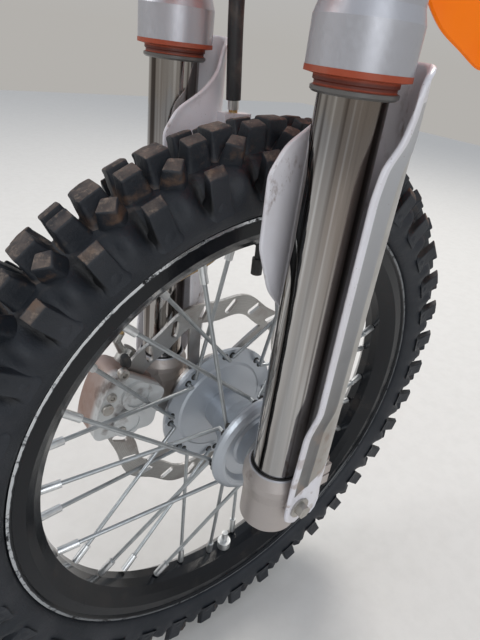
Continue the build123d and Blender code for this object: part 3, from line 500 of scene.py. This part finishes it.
def piece(name, verts, faces, slot, body, split_degrees=None, stands_for=None):
    """A smooth piece; edges sharper than split_degrees stay sharp, and it may replace a CAD node."""
    mesh = bpy.data.meshes.new(name)
    mesh.from_pydata([axle + v * MM for v in verts], [], faces)
    mesh.materials.append(FINISH[slot].mat)
    for polygon in mesh.polygons:
        polygon.use_smooth = True
    made = bpy.data.objects.new(name, mesh)
    scene.collection.objects.link(made)
    if split_degrees:
        edges = made.modifiers.new("edges", "EDGE_SPLIT")
        edges.split_angle = radians(split_degrees)
    if stands_for:
        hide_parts(stands_for)
    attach(made, body)
    return made


def ring_faces(start, n, order):
    """Faces between one ring of n points and the next; order -1 turns them over."""
    made = []
    for k in range(n):
        a, b = start + k, start + (k + 1) % n
        made.append([a, b, b + n, a + n][::order])
    return made


def bell(value, middle, width):
    return exp(-((value - middle) / width) ** 2)


def soft_step(value, middle, width):
    """0 before the middle and 1 after it."""
    share = min(max((value - middle) / width + 0.5, 0.0), 1.0)
    return share * share * (3.0 - 2.0 * share)


def eased(rows, place, column, soft):
    """The value at a place between two rows, softened over a length of soft to both sides."""
    total, weights = 0.0, 0.0
    for k in range(-soft_samples, soft_samples + 1):
        at = min(max(place + k * soft / soft_samples, rows[0][0]), rows[-1][0])
        high = next(j for j in range(1, len(rows)) if rows[j][0] >= at)
        share = (at - rows[high - 1][0]) / (rows[high][0] - rows[high - 1][0])
        weight = bell(k, 0.0, soft_spread)
        total += weight * (rows[high - 1][column] * (1 - share) + rows[high][column] * share)
        weights += weight
    return total / weights


# Tyre: a smooth casing with rounded knobs

Knob = namedtuple("Knob", "angle y lean slope height draft corner_size corners")
Relief = namedtuple("Relief", "height angles wide radius deep")

knob_arc_centre = 215.4         # the knobs' tops lie on an arc across the tread
knob_arc_r = 30.0
# Knobs of one pitch: degrees from the first, y of the middle, lean of the block in degrees from the
# wheel's plane, slope of the top across the block, height, draft in degrees, rounding of its corners,
# corners (along, across)
knobs = [
    Knob(0.0, 7.8, 12.0, 0.05, 17.0, 7.0, 1.0, [(-6.4, -4.6), (6.4, -4.6), (6.4, 4.6), (-6.4, 4.6)]),
    Knob(4.8, 17.4, 26.0, 0.18, 17.0, 8.0, 1.0, [(-8.1, -0.4), (-0.8, -5.2), (6.8, -0.2), (-2.0, 6.2)]),
    Knob(0.0, 26.0, 7.0, 0.9, 21.0, 2.5, 0.45, [(-6.3, -2.6), (6.3, -2.6), (6.0, 2.9), (-6.0, 2.9)]),
]
centre_knob = Knob(5.2, 0.0, 0.0, 0.0, 17.0, 6.0, 1.0, [(-7.2, -7.4), (7.2, -7.4), (7.2, 7.4), (-7.2, 7.4)])
steep_slope = 0.5               # a top that slopes more than this is flat across
corner_lead, corner_cut = 2.2, 0.3
# Rounding of a knob from its top down: inset, depth
knob_rounding = [(1.6, 0.0), (0.9, 0.1), (0.38, 0.38), (0.08, 0.9), (0.0, 1.6), (0.0, 3.0)]
knob_wall_shares = (0.55, 0.8, 0.92, 1.0)
knob_foot_share, knob_foot_flare = 0.8, 9.0

casing_columns = 16             # of one pitch
casing_lead = 1.2               # degrees from the casing's first column to the first knob
casing_side_y = 14.0            # the relief lies outside this
casing_middle_r = 205.0         # the casing's outer side faces away from here
# Casing from the rim's edge to the crown: y, radius
casing_points = [
    (15.4, 181.0), (15.5, 188.0), (16.6, 192.4), (19.6, 192.7), (21.4, 193.5), (23.4, 195.6), (25.0, 198.6),
    (26.1, 202.0), (26.7, 205.6), (26.7, 209.2), (26.1, 212.8), (24.8, 216.4), (22.8, 219.8), (20.0, 222.8),
    (16.4, 225.4), (12.0, 227.6), (6.0, 229.1), (0.0, 229.6),
]
# Relief on the casing's sides: height, middles and width in degrees from the first knob, radius and width
casing_relief = [
    Relief(3.0, (5.2,), 1.2, 218, 9.0),             # a rib under each side knob
    Relief(1.6, (0.0, 9.73), 1.5, 211, 6.0),        # the foot of each shoulder knob
    Relief(-6.5, (2.3,), 1.1, 218, 8.0),            # a hollow behind each shoulder knob
    Relief(-1.6, (7.5, -2.2), 0.9, 217, 7.5),       # dips on both sides of it
]


def round_corners(corners, size):
    """Corners as short arcs with a point on the edge before and after."""
    made = []
    for k, (u, v) in enumerate(corners):
        at = Vector((u, v))
        before = (Vector(corners[k - 1]) - at).normalized()
        after = (Vector(corners[(k + 1) % len(corners)]) - at).normalized()
        made += [at + before * corner_lead * size, at + before * size]
        made += [at + (before + after) * corner_cut * size]
        made += [at + after * size, at + after * corner_lead * size]
    return made


def grown(outline, out):
    """Outline with every point moved outwards."""
    made = []
    for k, at in enumerate(outline):
        way = (outline[(k + 1) % len(outline)] - outline[k - 1]).normalized()
        made.append(at + Vector((way.y, -way.x)) * out)
    return made


def shrunk(outline, inset):
    """Outline drawn in towards its middle, by inset at its outermost points."""
    far_x, far_y = (max(abs(at[i]) for at in outline) for i in (0, 1))
    return [Vector((at.x * (1 - inset / far_x), at.y * (1 - inset / far_y))) for at in outline]


def knob_rings(knob):
    """Rings of a knob from its top to its foot: inset, depth."""
    rings = list(knob_rounding)
    for share in knob_wall_shares:
        depth = knob.height * share
        flare = max(share - knob_foot_share, 0.0) * knob_foot_flare
        rings.append((-(depth * tan(radians(knob.draft)) + flare), depth))
    return rings


def knob_mesh(verts, faces, angle, side, knob):
    """Adds one rounded, tapered block that stands on the casing."""
    a, lean = radians(angle), radians(knob.lean)
    outward = Vector((cos(a), 0, sin(a)))
    along = Vector((-sin(a), 0, cos(a)))
    across = Vector((0, side, 0))
    top = knob_arc_centre + sqrt(knob_arc_r ** 2 - knob.y ** 2)
    middle = outward * top + across * knob.y
    stand = outward * cos(lean) + across * sin(lean)
    wide = across * cos(lean) - outward * sin(lean)
    outline = round_corners(knob.corners, knob.corner_size)
    rings = knob_rings(knob)
    start, n = len(verts), len(outline)
    for inset, depth in rings:
        for at in (shrunk(outline, inset) if inset > 0 else grown(outline, -inset)):
            curve = at.y ** 2 / (2 * knob_arc_r) if knob.slope < steep_slope else 0.0
            fall = knob.slope * at.y + curve
            verts.append(middle + along * at.x + wide * at.y - stand * (depth + fall))
    order = 1 if side > 0 else -1
    peak = len(verts)
    verts.append(sum(verts[start:start + n], Vector()) / n)
    faces += [[start + k, start + (k + 1) % n, peak][::-order] for k in range(n)]
    for ring in range(len(rings) - 1):
        faces += ring_faces(start + ring * n, n, order)


def relief_at(step, r):
    total = 0.0
    for row in casing_relief:
        total += row.height * sum(bell(step, at, row.wide) for at in row.angles) * bell(r, row.radius, row.deep)
    return total


def casing_mesh(verts, faces):
    """Adds the casing with its ribs and hollows."""
    outline = [(y, r) for y, r in casing_points] + [(-y, r) for y, r in reversed(casing_points[:-1])]
    columns, n, start = casing_columns * tread_pitches, len(outline), len(verts)
    for k in range(columns):
        step = (k % casing_columns) * 360 / tread_pitches / casing_columns - casing_lead
        a = radians(first_knob_angle - casing_lead) + 2 * pi * k / columns
        for j, (y, r) in enumerate(outline):
            before, after = Vector(outline[max(j - 1, 0)]), Vector(outline[min(j + 1, n - 1)])
            way = (before - after).normalized()
            normal = Vector((-way.y, way.x))
            if normal.dot(Vector((y, r - casing_middle_r))) < 0:
                normal = -normal
            spot = Vector((y, r)) + normal * (relief_at(step, r) if abs(y) > casing_side_y else 0.0)
            verts.append(Vector((cos(a) * spot.y, spot.x, sin(a) * spot.y)))
    for k in range(columns):
        for j in range(n - 1):
            a0 = start + k * n + j
            b0 = start + (k + 1) % columns * n + j
            faces.append([a0, a0 + 1, b0 + 1, b0])


def knobbly_tyre():
    verts, faces = [], []
    casing_mesh(verts, faces)
    for k in range(tread_pitches):
        angle = first_knob_angle + k * 360 / tread_pitches
        for side in (-1, 1):
            for knob in knobs:
                knob_mesh(verts, faces, angle + knob.angle, side, knob)
        knob_mesh(verts, faces, angle + centre_knob.angle, 1, centre_knob)
    piece("tyre_tread", verts, faces, "tyre_rubber", "wheel", stands_for="tyre")


# Small fittings

sharp_degrees = 38
leg = sum(box_mm("dust_seal_left"), Vector()) / 2       # the middle of the left leg
lug_top = box_mm("axle_lug_right")[1].z
# Lip seal between a lug and its tube: radius, height
lug_seal = [(16.6, -0.5), (16.6, 1.0), (17.1, 1.1), (17.5, 0.5), (17.6, -0.3)]
lug_lip = [(17.6, -0.3), (17.7, 0.7), (18.1, 1.1), (18.6, 1.0), (18.95, 0.4), (18.95, -0.8)]
lug_segments = 48
spoke_count = 32
first_spoke_angle = 7.25        # degrees round the axle
spoke_lead = 29.6               # degrees a spoke leads or trails in the hub
# Dark collars as painted shadow in the hub's spoke holes: y, circle of the leading and of the trailing spokes,
# height
near_mouths = (-25.6, 43.6, 42.6, 2.1)
far_mouths = (27.3, 50.4, 50.4, -0.5)
mouth_profile = [(1.7, 1.0), (2.3, 1.0), (2.9, 0.55), (3.0, 0.0)]
mouth_segments = 14
# Socket screws on the caliper: x, y, height, radius, length
caliper_screws = [(-92.0, 29.3, 64.0, 4.2, 3.6), (-101.5, 29.3, 46.0, 3.6, 3.0), (-94.5, 29.3, 12.0, 3.8, 3.2)]
screw_segments = 36
socket_share, edge_share, chamfer_share = 0.52, 0.88, 0.16      # of a screw's radius
socket_floor, screw_sunk = 0.8, -2.0
bleed_cap = (-86.5, 36.0, 67.0)
bleed_cap_way = (-0.3, -0.35, 0.9)
bleed_cap_profile = [(0.01, 11.0), (2.2, 10.8), (3.0, 9.8), (3.2, 7.0), (3.9, 5.0), (4.1, 1.0), (3.6, -2.0)]


def turned(verts, faces, profile, place, way, segments=28, hexagon=()):
    """Turns radius and height pairs around a line; the pairs named in hexagon keep six flat sides."""
    turn = Vector(way).to_track_quat("Z", "X").to_matrix()
    start = len(verts)
    for k in range(segments):
        a = 2 * pi * k / segments
        for j, (r, h) in enumerate(profile):
            flat = cos(pi / 6) / cos((a % (pi / 3)) - pi / 6) if j in hexagon else 1.0
            verts.append(Vector(place) + turn @ Vector((cos(a) * r * flat, sin(a) * r * flat, h)))
    n = len(profile)
    for k in range(segments):
        for j in range(n - 1):
            a0, b0 = start + k * n + j, start + (k + 1) % segments * n + j
            faces.append([a0, b0, b0 + 1, a0 + 1])


def lug_seals():
    for name, profile, slot in (("lug_seals", lug_seal, "valve_black"), ("lug_lips", lug_lip, "outer_tube")):
        verts, faces = [], []
        for side in (-1, 1):
            turned(verts, faces, profile, (leg.x, side * leg.y, lug_top), (0, 0, 1), lug_segments)
        piece(name, verts, faces, slot, "fork", sharp_degrees)


# Painted shadow: dark collars where the spokes enter the hub.
def spoke_hole_shadows():
    verts, faces = [], []
    for k in range(spoke_count):
        leads = (k // 2) % 2 == 0
        y, ahead, behind, height = far_mouths if k % 2 == 0 else near_mouths
        circle = ahead if leads else behind
        a = radians(first_spoke_angle + k * 360 / spoke_count + (spoke_lead if leads else -spoke_lead))
        profile = [(r, h * abs(height)) for r, h in mouth_profile]
        way = (0, 1 if height > 0 else -1, 0)
        turned(verts, faces, profile, (circle * cos(a), y, circle * sin(a)), way, mouth_segments)
    piece("spoke_hole_shadows", verts, faces, "valve_black", "wheel", sharp_degrees)


def caliper_details():
    verts, faces = [], []
    for x, y, z, r, length in caliper_screws:
        socket = r * socket_share
        head = [(0.01, socket_floor), (socket, socket_floor), (socket, length), (r * edge_share, length),
                (r, length - r * chamfer_share), (r, screw_sunk)]
        turned(verts, faces, head, (x, y, z), (0, -1, 0), screw_segments, (1, 2))
    piece("caliper_screws", verts, faces, "steel", "fork", sharp_degrees)
    verts, faces = [], []
    turned(verts, faces, bleed_cap_profile, bleed_cap, bleed_cap_way)
    piece("bleed_cap", verts, faces, "valve_black", "fork", sharp_degrees)


# Fork guards: a bent shell whose edges follow smooth lines. A row gives the height and how far round the
# middle of the wall the edge on the wheel's side and the outer edge lie, from where the front arc starts.

guard_centre = 10.0             # middle of the front arc ahead of the leg
guard_r = 24.5                  # middle of the wall
guard_half_wall = 1.5
guard_lip, guard_lip_wide = 0.9, 3.0            # the edges turn outwards
guard_edge_turns = (60, 0, -60)                 # rounding of the edges, in degrees
guard_end = [(0.0, 0.3), (0.3, 0.9), (0.9, 1.35)]       # rounding of both ends: height, half the wall
guard_rows_mm = 2.0
guard_steps = 52                # along the wall
guard_soft = 5.0                # how far corners of the edges are softened
guard_sharp_degrees = 60
field_from_edge = (2.6, 52.0)   # the grey field on the outer arm, from its rear edge
field_heights = (33.0, 268.0)
field_slant = 0.5
outside_field = -5.0
ridge_from_edge, ridge_height, ridge_wide = 13.5, 0.6, 1.6
guard_edges = [
    (7.0, 80.0, 83.0), (8.5, 66.0, 92.0), (12.0, 57.5, 96.0), (18.0, 52.0, 97.0), (30.0, 49.0, 97.0),
    (44.0, 46.0, 97.0), (47.0, 38.0, 97.0), (52.0, 17.5, 96.5), (60.0, 3.0, 96.0), (84.0, 1.0, 95.0),
    (98.0, 0.0, 88.0), (140.0, -2.0, 88.0), (158.0, -18.0, 88.0), (186.0, -29.0, 88.0), (226.0, -30.0, 88.0),
    (240.0, -21.0, 85.5), (251.0, -3.0, 77.0), (264.0, 9.0, 73.0), (272.0, 11.5, 72.5), (278.0, 15.0, 70.0),
    (281.0, 20.0, 66.0), (282.6, 28.0, 58.0), (283.0, 38.0, 48.0),
]


def on_guard(along, out):
    """x and y on the guard's wall, out from its middle."""
    arc = pi * guard_r
    r = guard_r + out
    if along < 0:
        return guard_centre + along, r
    if along > arc:
        return guard_centre - (along - arc), -r
    a = pi / 2 - along / guard_r
    return guard_centre + r * cos(a), r * sin(a)


def guard_ends(height):
    """How far round the wall its two edges lie at a height."""
    return (eased(guard_edges, height, column, guard_soft) for column in (1, 2))


def guard_ring(height, half_wall):
    """Points round the wall at one height, with rounded edges."""
    start, end = guard_ends(height)
    line = [start + (end - start) * k / guard_steps for k in range(guard_steps + 1)]
    ring = []
    for side in (1, -1):
        for along in (line if side > 0 else reversed(line)):
            lip = guard_lip * bell(min(along - start, end - along), 0.0, guard_lip_wide)
            if side > 0:
                lip += ridge_height * bell(end - along, ridge_from_edge, ridge_wide)
            ring.append(on_guard(along, side * half_wall + lip))
        edge, away = (end, 1) if side > 0 else (start, -1)
        for degrees in guard_edge_turns:
            a = radians(degrees) * side
            ring.append(on_guard(edge + away * half_wall * cos(a), half_wall * sin(a) + guard_lip))
    return ring


def in_field(height, k):
    """How far a point of a ring lies inside the grey field, and from the outer edge, in millimetres."""
    if k > guard_steps:
        return outside_field, 0.0
    start, end = guard_ends(height)
    from_edge = (end - start) * (1 - k / guard_steps)
    low = field_heights[0] + field_slant * (from_edge - field_from_edge[0])
    across = min(from_edge - field_from_edge[0], field_from_edge[1] - from_edge)
    return min(across, height - low, field_heights[1] - height), from_edge


def guard_rows():
    """Heights of the guard's rings, and half its wall there."""
    low, high = guard_edges[0][0], guard_edges[-1][0]
    length = high - low - 2 * guard_half_wall
    count = int(length / guard_rows_mm)
    rows = [(low + h, half_wall) for h, half_wall in guard_end]
    rows += [(low + guard_half_wall + length * k / count, guard_half_wall) for k in range(count + 1)]
    return rows + [(high - h, half_wall) for h, half_wall in reversed(guard_end)]


def smooth_guard(name, side):
    verts, faces, inside_field, past_ridge = [], [], [], []
    rows = guard_rows()
    for height, half_wall in rows:
        for k, (x, y) in enumerate(guard_ring(height, half_wall)):
            verts.append(Vector((leg.x + x, side * (leg.y - y), height)))
            inside, from_edge = in_field(height, k)
            inside_field.append(inside)
            past_ridge.append(from_edge - ridge_from_edge)
    n = len(verts) // len(rows)
    order = -side
    for j in range(len(rows) - 1):
        faces += ring_faces(j * n, n, order)
    faces.append(list(range(n))[::-order])
    faces.append([len(verts) - n + k for k in range(n)][::order])
    replaced = "fork_guard_right" if side < 0 else "fork_guard_left"
    made = piece(name, verts, faces, "guard_plastic", "fork", guard_sharp_degrees, replaced)
    for key, values in (("inside_field", inside_field), ("past_ridge", past_ridge)):
        made.data.attributes.new(key, "FLOAT", "POINT").data.foreach_set("value", values)


# Front fender: a smooth arched sheet with rolled edges. A row gives x from the steering axis, the crown and
# the lip below the lower clamp, and the half width.

clamp_underside = box_mm("lower_clamp")[0].z
axle_lead = axle.x / MM         # from the steering axis
fender_wall = 2.6
fender_rows = [
    (-76.0, 75.0, 87.0, 40.0), (-58.0, 52.0, 70.0, 43.0), (-24.0, 21.0, 37.0, 43.0), (60.0, 13.0, 31.0, 42.0),
    (66.0, 13.5, 80.0, 42.0), (90.0, 18.0, 97.0, 42.0), (110.4, 22.0, 111.5, 42.0), (114.7, 23.0, 115.3, 42.0),
    (120.5, 24.0, 119.0, 42.0), (127.1, 25.5, 123.3, 42.0), (134.4, 27.0, 126.7, 42.0),
    (145.1, 30.0, 129.9, 42.0), (156.0, 33.0, 132.9, 42.0), (170.7, 36.5, 138.6, 42.5),
    (186.0, 39.5, 145.5, 43.5), (197.0, 42.0, 141.0, 46.0), (234.0, 50.5, 104.0, 54.0),
    (262.0, 56.0, 93.5, 57.0), (300.0, 63.0, 92.0, 57.0), (380.0, 79.0, 98.0, 48.0), (420.0, 87.0, 99.8, 37.0),
    (440.0, 91.0, 100.6, 26.0), (450.0, 93.0, 101.0, 14.0),
]
# Across the sheet, from the middle to the lip: share of the half width and of the way down from the crown
fender_arch = [
    (0.0, 0.0, 0.0), (0.12, 0.24, 0.014), (0.25, 0.48, 0.062), (0.36, 0.67, 0.135), (0.46, 0.82, 0.225),
    (0.54, 0.905, 0.315), (0.61, 0.945, 0.42), (0.72, 0.962, 0.58), (0.86, 0.98, 0.79), (1.0, 1.0, 1.0),
]
arch_soft = 0.05
fender_columns = 26             # of each half
fender_step = 4.0
flare_start, flare_step, flare_rows = 58.0, 0.8, 23     # closer rows, where the sides come down
flare_middle, front_start = 63.0, 78.0
flare_soft, soft_growth, most_soft, end_growth = 3.0, 0.2, 20.0, 0.4
rolled_edge, rolled_wide, edge_bulge = 0.8, 4.0, 1.0
raised_by, raised_share, raised_step = 1.5, 0.52, 3.0           # the raised middle of the sheet
raised_start, raised_end, raised_fade = 96.0, 424.0, 14.0
# Bosses that the fender hangs on under the lower clamp: x from the steering axis, y
boss_places = [(-12.0, -18.0), (-12.0, 18.0), (24.0, -18.0), (24.0, 18.0)]
boss_length = 29.0
# Radius, height
boss_profile = [(0.01, 0.0), (6.2, 0.0), (7.0, 0.8), (7.0, 28.0), (6.2, 28.8), (0.01, 28.8)]


def on_fender(x, across):
    """A point on the outer face; across runs from -1 at the right lip to 1 at the left one."""
    from_end = min(x - fender_rows[0][0], fender_rows[-1][0] - x)
    soft = min(flare_soft + abs(x - flare_middle) * soft_growth, most_soft, flare_soft + from_end * end_growth)
    crown, lip, half = (eased(fender_rows, x, column, soft) for column in (1, 2, 3))
    t, side = abs(across), (1 if across > 0 else -1)
    wide, down = (eased(fender_arch, t, column, arch_soft) for column in (1, 2))
    y = half * wide
    edge = rolled_edge * bell((1.0 - t) * (lip - crown), 0.0, rolled_wide)
    middle = soft_step(half * raised_share - y, 0.0, raised_step)
    length = soft_step(x, raised_start, raised_fade) * soft_step(-x, -raised_end, raised_fade)
    z = clamp_underside - crown - down * (lip - crown) + raised_by * middle * length
    return Vector((x - axle_lead, side * (y + edge), z))


def fender_stations():
    """x of the rows of points, closer together where the sides come down."""
    rear, front = fender_rows[0][0], fender_rows[-1][0]
    made = [rear + fender_step * k for k in range(int((flare_start - rear) / fender_step) + 1)]
    made += [flare_start + flare_step * k for k in range(flare_rows)]
    return made + [front_start + fender_step * k for k in range(int((front - front_start) / fender_step) + 1)]


def inner_face(outer):
    """The sheet's other face, a wall's thickness inside the outer one."""
    rows, columns = len(outer), len(outer[0])
    made = []
    for i in range(rows):
        made.append([])
        for j in range(columns):
            along = outer[min(i + 1, rows - 1)][j] - outer[max(i - 1, 0)][j]
            across = outer[i][min(j + 1, columns - 1)] - outer[i][max(j - 1, 0)]
            made[i].append(outer[i][j] - along.cross(across).normalized() * fender_wall)
    return made


def smooth_fender():
    line = [k / fender_columns for k in range(-fender_columns, fender_columns + 1)]
    outer = [[on_fender(x, across) for across in line] for x in fender_stations()]
    inner = inner_face(outer)
    rows, columns = len(outer), len(line)
    loop = [(i, 0) for i in range(rows - 1)] + [(rows - 1, j) for j in range(columns - 1)]
    loop += [(i, columns - 1) for i in range(rows - 1, 0, -1)] + [(0, j) for j in range(columns - 1, 0, -1)]
    verts = [p for row in outer for p in row] + [p for row in inner for p in row]
    for i, j in loop:
        inside = outer[min(max(i, 1), rows - 2)][min(max(j, 1), columns - 2)]
        verts.append((outer[i][j] + inner[i][j]) / 2 + (outer[i][j] - inside).normalized() * edge_bulge)
    faces, under = [], rows * columns
    for i in range(rows - 1):
        for j in range(columns - 1):
            a, b = i * columns + j, (i + 1) * columns + j
            face = [a, b, b + 1, a + 1]
            faces += [face, [v + under for v in reversed(face)]]
    for k, (i0, j0) in enumerate(loop):
        i1, j1 = loop[(k + 1) % len(loop)]
        p0, p1 = i0 * columns + j0, i1 * columns + j1
        m0, m1 = 2 * under + k, 2 * under + (k + 1) % len(loop)
        faces += [[m0, m1, p1, p0], [p0 + under, p1 + under, m1, m0]]
    for x, y in boss_places:
        turned(verts, faces, boss_profile, (x - axle_lead, y, clamp_underside - boss_length), (0, 0, 1))
    piece("smooth_fender", verts, faces, "fender_orange", "fork", sharp_degrees, "front_fender")


knobbly_tyre()
lug_seals()
spoke_hole_shadows()
caliper_details()
smooth_guard("smooth_guard_right", -1)
smooth_guard("smooth_guard_left", 1)
smooth_fender()


# Floor, sky and lamps

floor_half = 4.0
sky_low = (0.60, 0.58, 0.55, 1)
sky_high = (0.80, 0.86, 0.95, 1)
sky_high_place = 0.75
sky_strength = 0.75
lamp_target = (0, 0, -0.4)
# Name, place, width and height, watts, colour
lamps = [
    ("key", (1.6, 0.9, 1.5), (0.8, 0.8), 34, (1.0, 0.96, 0.9)),
    ("left_wall", (-0.9, -1.9, 0.5), (1.2, 1.2), 16, (0.92, 0.96, 1.0)),
    ("back_wall", (-1.6, 1.2, 0.9), (1.0, 1.0), 12, (1, 1, 1)),
]


def plain_floor():
    mesh = bpy.data.meshes.new("floor")
    corners = [(x * floor_half, y * floor_half, floor_z) for x, y in ((-1, -1), (1, -1), (1, 1), (-1, 1))]
    mesh.from_pydata(corners, [], [(0, 1, 2, 3)])
    floor = bpy.data.objects.new("floor", mesh)
    scene.collection.objects.link(floor)
    m = Paint("floor", (0.70, 0.68, 0.65), 0.85)
    m.tint((0.67, 0.65, 0.62), m.ramp(m.noise(60, 5), 0.4, 0.7))
    mesh.materials.append(m.mat)


def sky():
    world = bpy.data.worlds.new("world")
    scene.world = world
    world.use_nodes = True
    tree = world.node_tree
    background = tree.nodes["Background"]
    coord = tree.nodes.new("ShaderNodeTexCoord")
    split = tree.nodes.new("ShaderNodeSeparateXYZ")
    ramp = tree.nodes.new("ShaderNodeValToRGB")
    tree.links.new(coord.outputs["Generated"], split.inputs["Vector"])
    tree.links.new(split.outputs["Z"], ramp.inputs["Fac"])
    stops = ramp.color_ramp.elements
    stops[0].position, stops[0].color = 0.0, sky_low
    stops[1].position, stops[1].color = sky_high_place, sky_high
    tree.links.new(ramp.outputs["Color"], background.inputs["Color"])
    background.inputs["Strength"].default_value = sky_strength


def lamp(name, place, size, power, color):
    light = bpy.data.lights.new(name, "AREA")
    light.shape = "RECTANGLE"
    light.size, light.size_y = size
    light.energy = power
    light.color = color
    made = bpy.data.objects.new(name, light)
    scene.collection.objects.link(made)
    made.location = place
    made.rotation_euler = (Vector(lamp_target) - Vector(place)).to_track_quat("-Z", "Y").to_euler()


plain_floor()
sky()
for row in lamps:
    lamp(*row)
